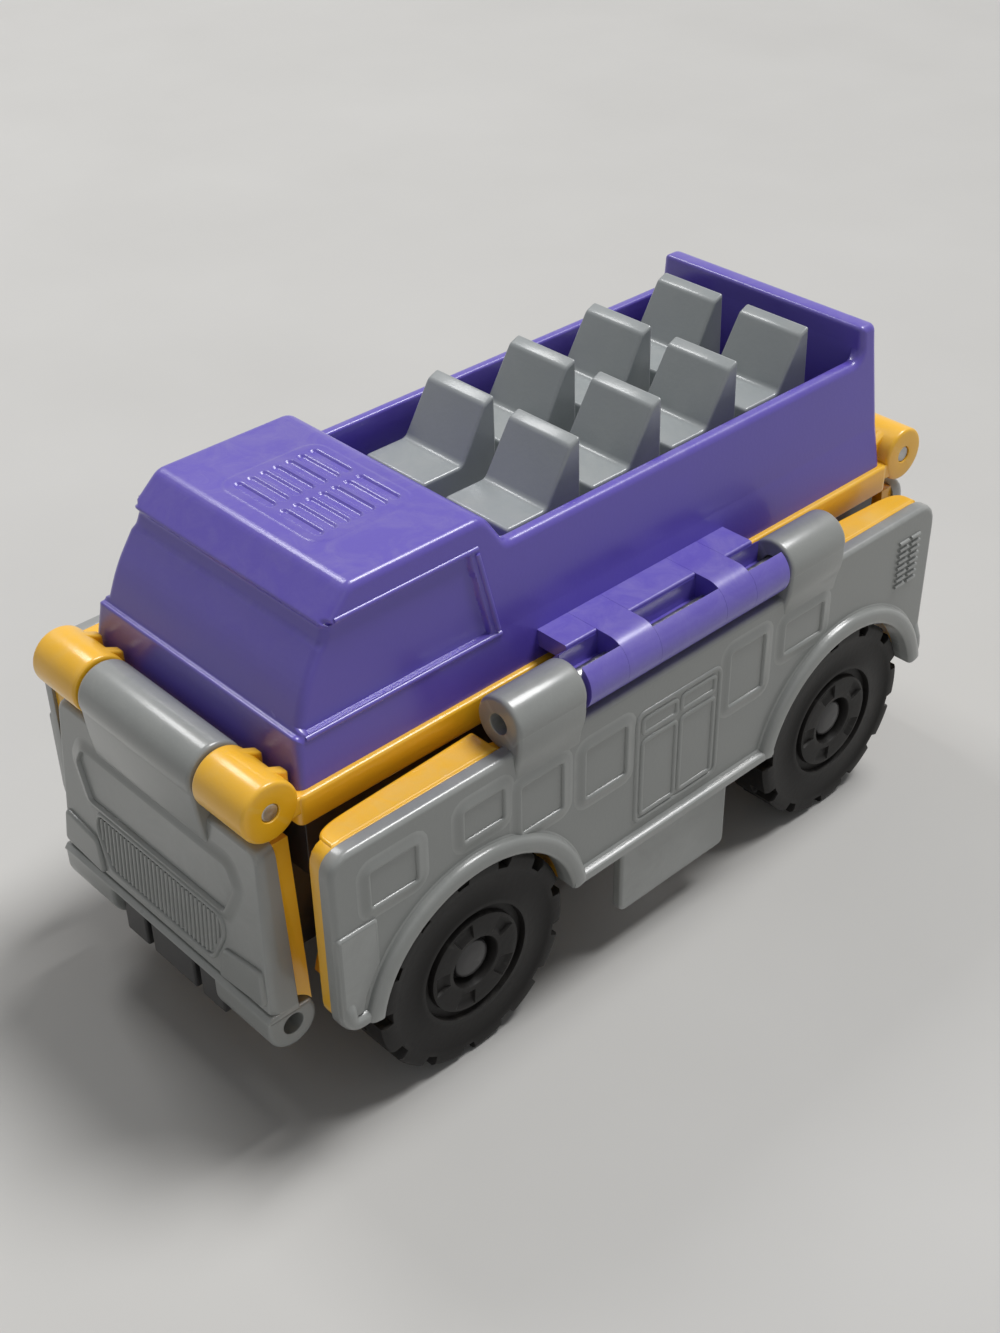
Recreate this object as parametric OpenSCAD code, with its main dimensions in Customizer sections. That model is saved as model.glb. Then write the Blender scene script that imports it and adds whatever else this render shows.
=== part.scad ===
// Open-top toy bus that turns inside out: four lined panels hinge round an orange core.
// The bus faces -Y, +Z is up, and the origin is on the floor under the middle of the core.

/* [Core and deck] */
// Height of the four hinge axes above the floor
axis_z = 32.8; // [31:0.1:36]
// Length of the deck along its bottom edge
deck_len = 72.2; // [70:0.1:78]
// Width of the deck along its bottom edge
deck_w = 28.2; // [27:0.1:31]
// Drop of the deck's bottom edge below the hinge axes
deck_drop = 0.1; // [0:0.05:0.4]
// Height of the belt line above the deck's bottom edge
belt_h = 4.3; // [3.6:0.1:5]
// How far the bottom edge stands outside the belt line
flare = 0.65; // [0.2:0.05:1]
// Height of the cab roof above the deck's bottom edge
roof_h = 14.8; // [14:0.1:16]
// Height of the tub rim above the deck's bottom edge
rim_h = 11.7; // [11:0.1:12.4]
// Height of the rear wall above the deck's bottom edge
tail_h = 14.9; // [14.6:0.1:16]
// Inward lean of the side walls from belt to roof
wall_lean = 0.95; // [0.4:0.05:1.4]
// Inset of the windscreen above the belt line
screen_step = 0.35; // [0.1:0.05:0.6]
// Run of the windscreen from the belt line to the roof
screen_run = 6.3; // [5.5:0.1:7]
// Length of the cab roof
roof_len = 13.9; // [13:0.1:15]
// Run of the cab's back slope down to the rim
cab_back_run = 2; // [1.4:0.1:2.6]
// Forward lean of the rear wall
tail_lean = 1; // [0.4:0.1:1.6]
// Thickness of the rear wall at its top
tail_wall = 2.1; // [1.6:0.1:2.6]
// Radius of the sweep from the rim up to the rear wall
tail_sweep = 2.6; // [1.6:0.1:2.8]
// Thickness of the deck's walls
deck_wall = 1.3; // [1:0.1:1.6]
// Thickness of the tub floor
deck_floor = 1.5; // [1.2:0.1:2]
// Thickness of the core plate
core_t = 2.9; // [2.4:0.1:3.4]
// How far the core plate stands outside the deck
core_proud = 0.6; // [0.3:0.1:0.9]

/* [Roof vent] */
// Length of the vent along the bus
vent_len = 9.8; // [8:0.1:11]
// Width of the vent across the bus
vent_w = 12.2; // [10:0.1:14]
// Depth of the vent's grooves
vent_depth = 0.35; // [0.2:0.05:0.6]
// Width of the groove round the vent
vent_groove = 0.4; // [0.3:0.05:0.6]
// Slots in each of the vent's two rows
vent_slots = 8; // [6:1:9]

/* [Seats] */
// Rows of seats
seat_rows = 4; // [2:1:4]
// Gap from the last backrest to the rear wall
seat_tail = 3.6; // [3:0.1:5]
// Width of one seat
seat_w = 8; // [7:0.1:8.6]
// Gap between the two columns of seats
aisle_w = 2.5; // [1.6:0.1:3.6]
// Gap from the cab to the first cushion
seat_lead = 3.4; // [2:0.1:4]
// Height of the cushions above the tub floor
cushion_rise = 8.3; // [7:0.1:9]
// Depth of a cushion in front of its backrest
cushion_len = 4.6; // [4:0.1:4.8]
// Height of a backrest above its cushion
back_h = 4.9; // [4:0.1:5.4]
// Backward lean of a backrest's front
back_lean = 2.9; // [2:0.1:3.2]
// Thickness of a backrest at its top
back_top_t = 1.2; // [1:0.1:1.4]
// Rise of a backrest's top from its front to its rear edge
back_rise = 0.5; // [0.2:0.1:0.8]
// Height of the plinth that joins the seats
plinth_h = 3.7; // [3:0.1:4.4]

/* [Hinges] */
// Reach of the side hinge axes outside the deck
flange_reach = 4.4; // [4:0.1:5]
// Reach of the end hinge axes outside the deck
end_reach = 3.1; // [3:0.1:3.6]
// Diameter of the hinge pins
pin_d = 1.6; // [1.4:0.1:1.8]
// Diameter of the side hinge barrels
side_barrel_d = 5; // [4.6:0.1:5.4]
// Diameter of the end hinge barrels
end_barrel_d = 5.4; // [5:0.1:5.6]
// Place of the side hinges' middle along the bus
side_hinge_mid = 1.2; // [0:0.1:2]
// Length of the deck's knuckle on a side hinge
side_knuckle_len = 25.2; // [23:0.1:27]
// Length of a side hinge over both outer barrels
side_hinge_len = 41.4; // [39:0.1:43]
// Length of the panel's barrel on an end hinge
end_knuckle_len = 15.6; // [14:0.1:17]
// How far an end hinge stands outside the deck at each side
end_hinge_proud = 0.5; // [0:0.1:0.8]
// Depth of a side hinge pin inside its barrel ends
pin_recess = 1.4; // [0.8:0.1:2]
// Thickness of the deck's side flanges
flange_t = 1.6; // [1.2:0.1:2]
// Distance of a flange's end from the knuckle's end
flange_inset = 0.9; // [0.4:0.1:1.4]
// Length of the window in the middle of a flange
window_len = 8.3; // [7:0.1:9.4]
// Width of the windows and notches in a flange
window_w = 2.6; // [2.2:0.1:3]
// Length of the notches at a flange's ends
notch_len = 3.6; // [2.6:0.1:4.4]

/* [Wheels] */
// Diameter of the wheels
wheel_d = 20.8; // [20:0.1:21.4]
// Width of the wheels
wheel_w = 5.2; // [4.8:0.1:5.4]
// Width of a side panel in front of its front arch
front_post_w = 3.7; // [3:0.1:4.6]
// Width of a side panel behind its rear arch
rear_post_w = 1.7; // [1.2:0.1:2.4]
// Set-back of a wheel's outer face from the panel's face
wheel_inset = 0.4; // [0.2:0.1:1]
// Diameter of the wheel pins
wheel_pin_d = 2.1; // [1.8:0.1:2.4]
// Blocks in the tread
tread_blocks = 13; // [10:1:15]
// Depth of the gaps between the tread's blocks
tread_depth = 1.1; // [0.7:0.1:1.4]

/* [Side panels] */
// Distance of a side panel's outer face outside its axis
side_face = 1.8; // [1.6:0.1:2]
// Distance of the seam between shell and liner outside the axis
side_seam = 0.4; // [0.2:0.1:0.6]
// Distance of the liner's inner face inside the axis
side_inner = 1.2; // [1:0.1:1.4]
// Reach of the liner's top rim inside its inner face
liner_rim = 2; // [1:0.1:2.4]
// Drop of the panel's top edge below the axis
side_top_drop = 2; // [1.6:0.1:2.6]
// Gap from the front end of a side panel to the end axis
side_front_gap = 0.7; // [0.5:0.1:1.2]
// Gap from the rear end of a side panel to the end axis
side_rear_gap = 1.9; // [1.4:0.1:2.2]
// Height of the panel's lower edge above the wheel centres
sill_rise = 2.2; // [1.8:0.1:3]
// Height of the sill moulding
sill_h = 2; // [1.4:0.1:2.6]
// Width of the lip round a wheel arch
lip_w = 1.8; // [1.4:0.1:2]
// How far arch lips and sill stand proud of the face
lip_proud = 0.8; // [0.5:0.1:1]
// Gap between tyre and arch
arch_gap = 0.6; // [0.4:0.1:0.9]
// Length of the skirt under the sill
skirt_len = 14.4; // [12:0.1:16]
// Height of the skirt under the sill
skirt_h = 8.2; // [6:0.1:9]
// Width of the double door
door_w = 10.4; // [9:0.1:11]
// Height of the double door
door_h = 10.6; // [9:0.1:11.6]

/* [End panels] */
// Drop of an end panel's top edge below its axis
end_top_drop = 3.5; // [3.2:0.1:4]
// How far an end panel widens at each side from its top edge down to its bumper
end_splay = 1; // [0.6:0.1:1.4]
// Distance of the face at the top outside the axis
end_face_top = 1.4; // [1:0.1:1.6]
// Distance of the face at the bumper outside the axis
end_face_low = 2.4; // [2.2:0.1:2.6]
// Distance of the seam between shell and liner inside the axis
end_seam = 0.3; // [0.2:0.1:0.4]
// Thickness of an end liner
end_liner_t = 1.5; // [1.2:0.1:1.8]
// Height of the bumper's ledge above the floor
bumper_z = 12.4; // [11.6:0.1:13]
// Clearance of the bumper inserts above the floor
end_floor_gap = 7.4; // [6.6:0.1:8]
// Width of the cut-out in the bumper
bumper_gap_w = 14.9; // [13:0.1:16]
// Diameter of the round lugs at both ends of the bumper
lug_d = 4.8; // [4.4:0.1:5]
// Diameter of the cross-holes in the bumper lugs
eye_d = 2; // [1.6:0.1:2.2]

/* [Lower body] */
// Height of the second vehicle's bonnet above the floor
bonnet_z = 14.5; // [13.6:0.1:15.5]
// Clearance of its roof above the floor
lower_roof_z = 6.5; // [5:0.1:8]
// Thickness of the lower body's walls
lower_wall = 1.4; // [1.1:0.1:1.8]

/* [Clearances] */
// Free gap between pieces that swing past each other
swing_gap = 0.35; // [0.25:0.05:0.45]
// Radial gap of a running fit on a pin
run_gap = 0.05; // [0.03:0.01:0.08]
// Radial gap of a pressed fit on a pin
press_gap = 0.01; // [0.005:0.005:0.02]
// Gap between mouldings that lie against each other
seat_gap = 0.1; // [0.05:0.05:0.2]

/* [Hidden] */
$fn = 64;
// Overrun of every cut past the face it opens
over = 0.5;

// Heights
deck_z = axis_z - deck_drop;
belt_z = deck_z + belt_h;
roof_z = deck_z + roof_h;
rim_z = deck_z + rim_h;
tail_z = deck_z + tail_h;
crown_z = max(roof_z, tail_z);
floor_z = deck_z + deck_floor;
core_low_z = deck_z - core_t;
wheel_z = wheel_d / 2;
sill_z = wheel_z + sill_rise;

// Hinge axes
side_axis_x = deck_w / 2 + flange_reach;
end_axis_y = deck_len / 2 + end_reach;

// The deck's side profile, from front to rear
deck_front_y = -deck_len / 2;
belt_front_y = deck_front_y + flare;
screen_foot_y = belt_front_y + screen_step;
roof_front_y = screen_foot_y + screen_run;
roof_rear_y = roof_front_y + roof_len;
cab_foot_y = roof_rear_y + cab_back_run;
deck_rear_y = deck_len / 2;
tail_top_y = deck_rear_y - tail_lean;
tail_in_y = tail_top_y - tail_wall;
// Place of the visor line, as shares of the windscreen's run and height
visor_run_share = 0.66;
visor_rise_share = 0.76;
// Edge rounding of the roof and the rear wall
crown_edge = 0.8;
sweep_steps = 8;
sweep = [for (i = [0 : sweep_steps]) let (a = -90 + 90 * i / sweep_steps)
    [tail_in_y + tail_sweep * (cos(a) - 1), rim_z + tail_sweep * (sin(a) + 1)]];
visor = [screen_foot_y + screen_run * visor_run_share, belt_z + (roof_z - belt_z) * visor_rise_share];
deck_profile = concat(
    [[deck_front_y, deck_z], [belt_front_y, belt_z], [screen_foot_y, belt_z], visor,
        [roof_front_y, roof_z], [roof_rear_y, roof_z], [cab_foot_y, rim_z]],
    sweep,
    [[tail_in_y, tail_z], [tail_top_y, tail_z], [deck_rear_y, deck_z]]);
cab_hollow = [[screen_foot_y + deck_wall, deck_z - over], [screen_foot_y + deck_wall, belt_z],
    visor + [deck_wall, -deck_wall], [roof_front_y, roof_z - deck_wall],
    [roof_rear_y - deck_wall, roof_z - deck_wall], [roof_rear_y - deck_wall, deck_z - over]];
tub_front_y = cab_foot_y;
belt_half = deck_w / 2 - flare;
crown_half = belt_half - wall_lean;

// The cab's side windows, as shares of roof length and of the height from belt to roof
cab_window_shares = [[0.19, 0.01], [0.39, 0.61], [0.95, 0.62], [1.03, 0.01]];
cab_window = [for (s = cab_window_shares)
    [roof_front_y + roof_len * s[0], belt_z + (roof_z - belt_z) * s[1]]];
// Share of a cab window that its frame leaves open
cab_pane_share = 0.84;
frame_w = 0.55;
relief = 0.25;

// Vent rows
vent_y = roof_front_y + roof_len / 2;
// Share of the vent's length that one slot and its land take, and of its width that one slot spans
slot_land_share = 0.46;
slot_span_share = 0.36;
slot_pitch = (vent_len - vent_groove * 4) / vent_slots;

// Seats: one outline in the side view, drawn from the front of the cushion at floor level
seat_first_y = tub_front_y + seat_lead;
cushion_z = floor_z + cushion_rise;
back_z = cushion_z + back_h;
seat_taper = 0.25;
plinth_z = floor_z + plinth_h;
plinth_half = crown_half - deck_wall - seat_gap * 4;
seat_depth = cushion_len + back_lean + back_top_t;
seat_pitch = (tail_in_y - seat_tail - seat_depth - seat_first_y) / (seat_rows - 1);

// Screws that clamp lower body, core, deck and seat tray
screw_d = 2;
screw_head_d = 3.8;
screw_head_h = 1.2;
screw_seat_t = 3;
screw_grip = 5;
screw_slot_w = 0.6;
boss_d = 5;
screw_x = 7.5;
// Place of the screws along the bus, as a share of the deck's half length
screw_share = 0.61;
screw_places = [for (x = [-screw_x, screw_x], y = [deck_front_y, deck_rear_y]) [x, y * screw_share]];
screw_head_z = core_low_z - screw_seat_t;
screw_tip_z = deck_z + screw_grip;

// Hinges
side_barrel_r = side_barrel_d / 2;
end_barrel_r = end_barrel_d / 2;
side_knuckle_y0 = side_hinge_mid - side_knuckle_len / 2;
side_knuckle_y1 = side_hinge_mid + side_knuckle_len / 2;
side_hinge_y0 = side_hinge_mid - side_hinge_len / 2;
side_hinge_y1 = side_hinge_mid + side_hinge_len / 2;
end_knuckle_x = end_knuckle_len / 2;
end_hinge_x = deck_w / 2 + end_hinge_proud;
flange_z = axis_z + side_barrel_r;
rib_t = 1;
// Places of the two ribs behind an end barrel, as shares of the barrel's length
rib_place_shares = [0.12, 0.62];
rib_rise_share = 0.66;

// Side panels
face_x = side_axis_x + side_face;
seam_x = side_axis_x + side_seam;
inner_x = side_axis_x - side_inner;
rim_x = max(inner_x - liner_rim, deck_w / 2 + core_proud + swing_gap);
rim_t = 1.1;
lip_x = face_x + lip_proud;
side_top_z = axis_z - side_top_drop;
side_front_y = -(end_axis_y - side_front_gap);
side_rear_y = end_axis_y - side_rear_gap;
side_corner = 2.2;
side_edge = 0.9;
side_bar_z = axis_z - side_barrel_r - swing_gap;
arch_r = wheel_d / 2 + arch_gap;
wheel_ys = [side_front_y + front_post_w + arch_r, side_rear_y - rear_post_w - arch_r];
wheel_base = wheel_ys[1] - wheel_ys[0];
wheel_mid = (wheel_ys[0] + wheel_ys[1]) / 2;
neck_drop = 4.4;
skirt_t = 1.1;
peg_d = 1.8;
// Places of the pegs between shell and liner, as shares of the wheelbase and of the height from sill to top
side_peg_shares = [[-0.74, 0.72], [-0.2, 0.42], [0.2, 0.42], [0.7, 0.72]];
// Windows of the side panel: centre, foot, width and height, as shares of wheelbase and of door height
side_window_shares = [[-0.36, 0.56, 0.115, 0.6], [-0.2, 0.54, 0.105, 0.54], [0.185, 0.54, 0.105, 0.54]];
// Louvre lines near the rear top corner
louvre_lines = 6;
louvre_w = 3;
louvre_pitch = 0.85;

// Wheels and their pins
wheel_out_x = face_x - wheel_inset;
wheel_in_x = wheel_out_x - wheel_w;
hub_recess = 1.5;
hub_d = 5;
groove_d = 11.4;
groove_w = 0.8;
groove_depth = 0.6;
spokes = 5;
spoke_len = 2.2;
spoke_w = 0.7;
pin_head_d = 3.8;
pin_head_t = 0.8;
strap_t = 1.5;
strap_w = 6.4;
well_wall = 1;
well_r = arch_r + well_wall;
strap_x = wheel_in_x - swing_gap - strap_t;
strap_boss_x = strap_x - strap_t / 2;
// Share of a tread block's pitch that its gap takes, and of the wheel's width that a gap reaches
tread_gap_share = 0.3;
tread_reach_share = 0.4;

// End panels, drawn at the rear of the bus (+Y) and turned round for the front
end_top_z = axis_z - end_top_drop;
end_top_w = deck_w;
end_low_w = deck_w + end_splay * 2;
end_seam_y = end_axis_y - end_seam;
end_inner_y = end_seam_y - end_liner_t;
face_top_y = end_axis_y + end_face_top;
face_low_y = end_axis_y + end_face_low;
ledge_proud = 0.4;
ledge_h = 1.4;
lug_in_x = bumper_gap_w / 2;
lug_out_x = end_low_w / 2;
lug_r = lug_d / 2;
eye_y = face_low_y + ledge_proud - lug_r;
eye_z = bumper_z - ledge_h;
gap_top_z = max(bumper_z - ledge_h / 4, eye_z + eye_d / 2 + press_gap);
// Outlines on the panels, as shares of the half width and of the height from bumper to top edge
screen_shares = [[0.76, 0.78], [0.8, 0.7], [0.66, 0.5], [-0.66, 0.5], [-0.8, 0.7], [-0.76, 0.78]];
grille_shares = [[0.6, 0.45], [0.63, 0.36], [0.5, 0.16], [-0.5, 0.16], [-0.63, 0.36], [-0.6, 0.45]];
head_lamp_shares = [[0.62, 0.26], [0.98, 0.3], [1.0, 0.1], [0.56, 0.06]];
rear_window_shares = [[0.74, 0.88], [0.78, 0.56], [-0.78, 0.56], [-0.74, 0.88]];
plate_shares = [[0.34, 0.4], [0.34, 0.18], [-0.34, 0.18], [-0.34, 0.4]];
tail_lamp_shares = [[0.76, 0.48], [0.94, 0.48], [0.94, 0.12], [0.76, 0.12]];
end_peg_shares = [0.72, 0.62];
grille_ribs = 15;
insert_t = 1.4;
insert_slot_w = 1.2;
// Place of the slots in a bumper insert, as a share of its half width
insert_slot_share = 0.42;

// Lower body
lower_half_len = deck_len / 2 - seat_gap * 4;
lower_half_w = min(strap_boss_x - swing_gap * 2, deck_w / 2);
lower_rim_half = deck_w / 2 - seat_gap * 2;
lower_rim_z = wheel_z + well_r + swing_gap * 4;
// Second vehicle's cabin, as shares of the lower body's half length
lower_cab_shares = [[-0.52, 0], [-0.4, 1], [0.44, 1], [0.56, 0]];
// Its side windows, as shares of the half length and of the cabin's height
lower_window_shares = [[-0.4, 0.15], [-0.34, 0.75], [0.38, 0.75], [0.46, 0.15]];

// Colours
deck_colour = "slateblue";
panel_colour = "darkgray";
liner_colour = "orange";
dark_colour = "#333338";
steel_colour = "silver";

// Shapes that repeat

// A side-view outline carried across the bus from x0 to x1
module slab_x(x0, x1) {
    translate([x0, 0, 0])
        rotate([90, 0, 90])
            linear_extrude(x1 - x0)
                children();
}

// A front-view outline carried along the bus from y0 to y1
module slab_y(y0, y1) {
    translate([0, y1, 0])
        rotate([90, 0, 0])
            linear_extrude(y1 - y0)
                children();
}

// A plan-view outline carried up from z0 to z1
module slab_z(z0, z1) {
    translate([0, 0, z0])
        linear_extrude(z1 - z0)
            children();
}

// A round bar across the bus
module rod_x(x0, x1, y, z, d) {
    translate([x0, y, z])
        rotate([0, 90, 0])
            cylinder(d = d, h = x1 - x0);
}

// A round bar along the bus
module rod_y(y0, y1, x, z, d) {
    translate([x, y1, z])
        rotate([90, 0, 0])
            cylinder(d = d, h = y1 - y0);
}

// An upright round bar
module rod_z(z0, z1, x, y, d) {
    translate([x, y, z0])
        cylinder(d = d, h = z1 - z0);
}

// A box between two corners
module block(low, high) {
    translate(low)
        cube(high - low);
}

module both_sides() {
    children();
    mirror([1, 0, 0])
        children();
}

module both_ends() {
    children();
    mirror([0, 1, 0])
        children();
}

// The strip between an outline and the same outline shrunk about its middle to a share of its size
module outline_frame(points, share) {
    middle = [for (k = [0, 1]) (min([for (p = points) p[k]]) + max([for (p = points) p[k]])) / 2];
    difference() {
        polygon(points);
        polygon([for (p = points) middle + (p - middle) * share]);
    }
}

// Deck

// Cross section of the deck, grown outwards by grow
function deck_section(grow) = let (b = deck_w / 2 + grow, m = belt_half + grow, c = crown_half + grow)
    [[-b, deck_z], [-m, belt_z], [-c, crown_z - crown_edge], [-c + crown_edge, crown_z],
        [c - crown_edge, crown_z], [c, crown_z - crown_edge], [m, belt_z], [b, deck_z]];

module deck_block(grow) {
    intersection() {
        slab_x(-deck_w, deck_w)
            polygon(deck_profile);
        slab_y(-deck_len, deck_len)
            polygon(deck_section(grow));
    }
}

module cab_window_frames() {
    intersection() {
        deck_block(relief);
        slab_x(-deck_w, deck_w)
            outline_frame(cab_window, cab_pane_share);
    }
}

module deck_hollows() {
    intersection() {
        slab_x(-deck_w, deck_w)
            polygon(cab_hollow);
        slab_y(-deck_len, deck_len)
            polygon([[-belt_half + deck_wall, deck_z - over], [-crown_half + deck_wall, crown_z],
                [crown_half - deck_wall, crown_z], [belt_half - deck_wall, deck_z - over]]);
    }
    slab_y(tub_front_y, tail_in_y)
        polygon([[-belt_half + deck_wall, floor_z], [-crown_half + deck_wall, crown_z + over],
            [crown_half - deck_wall, crown_z + over], [belt_half - deck_wall, floor_z]]);
}

module roof_vent_cut() {
    translate([0, vent_y, 0])
        slab_z(roof_z - vent_depth, crown_z + over) {
            difference() {
                square([vent_w, vent_len], center = true);
                square([vent_w - vent_groove * 2, vent_len - vent_groove * 2], center = true);
            }
            for (side = [-1, 1], i = [0 : vent_slots - 1])
                translate([side * vent_w / 4, (i - (vent_slots - 1) / 2) * slot_pitch])
                    square([vent_w * slot_span_share, slot_pitch * slot_land_share], center = true);
        }
}

// Flange and knuckle of the right side hinge
module side_knuckle() {
    block([belt_half - deck_wall / 2, side_knuckle_y0 + flange_inset, flange_z - flange_t],
        [side_axis_x, side_knuckle_y1 - flange_inset, flange_z]);
    rod_y(side_knuckle_y0, side_knuckle_y1, side_axis_x, axis_z, side_barrel_d);
}

// Windows and notches that open the knuckle down to its pin
module side_knuckle_cuts() {
    cut_z = [axis_z, flange_z + over];
    ends = [[side_hinge_mid - window_len / 2, side_hinge_mid + window_len / 2],
        [side_knuckle_y0 - over, side_knuckle_y0 + flange_inset + notch_len],
        [side_knuckle_y1 - flange_inset - notch_len, side_knuckle_y1 + over]];
    for (e = ends)
        block([side_axis_x - window_w / 2, e[0], cut_z[0]], [side_axis_x + window_w / 2, e[1], cut_z[1]]);
    rod_y(side_knuckle_y0 - over, side_knuckle_y1 + over, side_axis_x, axis_z, pin_d + press_gap * 2);
}

module upper_deck() {
    color(deck_colour)
        difference() {
            union() {
                difference() {
                    union() {
                        deck_block(0);
                        cab_window_frames();
                    }
                    deck_hollows();
                }
                both_sides()
                    side_knuckle();
                for (p = screw_places)
                    if (p[1] < tub_front_y)
                        rod_z(deck_z, roof_z - deck_wall / 2, p[0], p[1], boss_d);
            }
            both_sides()
                side_knuckle_cuts();
            roof_vent_cut();
            for (p = screw_places)
                rod_z(deck_z - over, screw_tip_z, p[0], p[1], screw_d + press_gap * 2);
        }
}

// Seats

// Outline of one seat in the side view, from its cushion's front foot
function seat_outline(y) = [[y, plinth_z], [y, cushion_z], [y + cushion_len, cushion_z],
    [y + cushion_len + back_lean, back_z], [y + seat_depth, back_z + back_rise], [y + seat_depth, plinth_z]];

module one_seat(y) {
    intersection() {
        slab_x(aisle_w / 2, aisle_w / 2 + seat_w)
            polygon(seat_outline(y));
        slab_y(y, y + seat_depth)
            polygon([[aisle_w / 2, plinth_z], [aisle_w / 2 + seat_taper, back_z + back_rise],
                [aisle_w / 2 + seat_w - seat_taper, back_z + back_rise], [aisle_w / 2 + seat_w, plinth_z]]);
    }
}

module seat_tray() {
    last_y = seat_first_y + seat_pitch * (seat_rows - 1) + seat_depth;
    color(panel_colour)
        difference() {
            union() {
                block([-plinth_half, seat_first_y, floor_z], [plinth_half, last_y, plinth_z]);
                for (i = [0 : seat_rows - 1])
                    both_sides()
                        one_seat(seat_first_y + i * seat_pitch);
            }
            for (p = screw_places)
                if (p[1] > tub_front_y)
                    rod_z(floor_z - over, screw_tip_z, p[0], p[1], screw_d + press_gap * 2);
        }
}

// Core

// Right rear barrel of the core with the web and ribs that carry it
module end_barrel() {
    barrel_len = end_hinge_x - end_knuckle_x - swing_gap;
    barrel_x = end_knuckle_x + swing_gap;
    rod_x(barrel_x, end_hinge_x, end_axis_y, axis_z, end_barrel_d);
    block([barrel_x, deck_len / 2, axis_z - end_barrel_r * rib_rise_share],
        [end_hinge_x, end_axis_y, deck_z]);
    for (s = rib_place_shares)
        block([barrel_x + barrel_len * s, deck_len / 2 + seat_gap, deck_z - core_t / 2],
            [barrel_x + barrel_len * s + rib_t, end_axis_y, axis_z + end_barrel_r * rib_rise_share]);
}

module core_frame() {
    color(liner_colour)
        difference() {
            union() {
                block([-deck_w / 2 - core_proud, -deck_len / 2 - core_proud, core_low_z],
                    [deck_w / 2 + core_proud, deck_len / 2 + core_proud, deck_z]);
                both_ends()
                    both_sides()
                        end_barrel();
            }
            both_ends() {
                rod_x(-end_knuckle_x - swing_gap, end_knuckle_x + swing_gap, end_axis_y, axis_z,
                    end_barrel_d + swing_gap * 2);
                rod_x(-end_hinge_x - over, end_hinge_x + over, end_axis_y, axis_z, pin_d + press_gap * 2);
            }
            for (p = screw_places)
                rod_z(core_low_z - over, deck_z + over, p[0], p[1], screw_d + seat_gap * 2);
        }
}

// Lower body

function lower_profile(inset, top_z) = concat(
    [[-lower_half_len + inset, top_z], [-lower_half_len + inset, bonnet_z + inset]],
    [for (s = lower_cab_shares)
        [lower_half_len * s[0] + (s[0] < 0 ? inset : -inset),
            bonnet_z + (lower_roof_z - bonnet_z) * s[1] + inset]],
    [[lower_half_len - inset, bonnet_z + inset], [lower_half_len - inset, top_z]]);

module lower_body() {
    color(dark_colour)
        difference() {
            union() {
                difference() {
                    union() {
                        slab_x(-lower_half_w, lower_half_w)
                            polygon(lower_profile(0, core_low_z));
                        block([-lower_rim_half, -lower_half_len, lower_rim_z],
                            [lower_rim_half, lower_half_len, core_low_z]);
                    }
                    slab_x(-lower_half_w + lower_wall, lower_half_w - lower_wall)
                        polygon(lower_profile(lower_wall, core_low_z + over));
                    block([lower_wall - lower_rim_half, lower_wall - lower_half_len, lower_rim_z + lower_wall],
                        [lower_rim_half - lower_wall, lower_half_len - lower_wall, core_low_z + over]);
                }
                for (p = screw_places)
                    rod_z(bonnet_z, core_low_z, p[0], p[1], boss_d + lower_wall);
            }
            for (p = screw_places) {
                rod_z(bonnet_z - over, screw_head_z, p[0], p[1], screw_head_d + seat_gap * 2);
                rod_z(screw_head_z - over, core_low_z + over, p[0], p[1], screw_d + seat_gap * 2);
            }
            both_sides()
                slab_x(lower_half_w - relief, lower_half_w + over)
                    polygon([for (t = lower_window_shares)
                        [lower_half_len * t[0], bonnet_z + (lower_roof_z - bonnet_z) * t[1]]]);
        }
}

module core_screws() {
    color(steel_colour)
        for (p = screw_places)
            difference() {
                union() {
                    rod_z(screw_head_z - screw_head_h, screw_head_z, p[0], p[1], screw_head_d);
                    rod_z(screw_head_z, screw_tip_z - seat_gap, p[0], p[1], screw_d);
                }
                translate([p[0], p[1], screw_head_z - screw_head_h]) {
                    cube([screw_head_d / 2, screw_slot_w, screw_head_h], center = true);
                    cube([screw_slot_w, screw_head_d / 2, screw_head_h], center = true);
                }
            }
}

// Side panels, drawn on the right of the bus

// Outline of a side panel: inset from the ends, its top edge, and the radius of its arches
module side_outline(inset, radius) {
    difference() {
        polygon([[side_front_y + inset, sill_z], [side_front_y + inset, side_top_z - side_corner],
            [side_front_y + side_corner, side_top_z], [side_rear_y - side_corner, side_top_z],
            [side_rear_y - inset, side_top_z - side_corner], [side_rear_y - inset, sill_z]]);
        for (y = wheel_ys)
            translate([y, wheel_z])
                circle(r = radius);
        translate([side_knuckle_y0 - swing_gap, side_bar_z])
            square([side_knuckle_len + swing_gap * 2, side_top_drop + side_barrel_r]);
    }
}

// Raised frame round a rectangle given by its middle, foot, width and height
module raised_frame(y, z, w, h) {
    translate([y - w / 2, z])
        difference() {
            square([w, h]);
            translate([frame_w, frame_w])
                square([w - frame_w * 2, h - frame_w * 2]);
        }
}

// Frames of the double door's two leaves and of the panes at their tops
module side_relief_up() {
    door_z = sill_z + sill_h + frame_w;
    leaf_w = (door_w + frame_w) / 2;
    slab_x(face_x - relief, face_x + relief)
        for (side = [-1, 1]) {
            leaf_y = wheel_mid + side * (door_w - frame_w) / 4;
            raised_frame(leaf_y, door_z, leaf_w, door_h);
            raised_frame(leaf_y, door_z + door_h - sill_h, leaf_w, sill_h);
        }
}

module side_relief_down() {
    door_z = sill_z + sill_h;
    slab_x(face_x - relief, face_x + over)
        for (s = side_window_shares)
            translate([wheel_mid + wheel_base * s[0] - wheel_base * s[2] / 2, door_z + door_h * s[1]])
                square([wheel_base * s[2], door_h * s[3]]);
    slab_x(face_x - relief, face_x + over)
        for (i = [0 : louvre_lines - 1])
            translate([side_rear_y - side_corner - louvre_w, side_top_z - side_corner - i * louvre_pitch])
                square([louvre_w, louvre_pitch / 2]);
}

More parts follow.
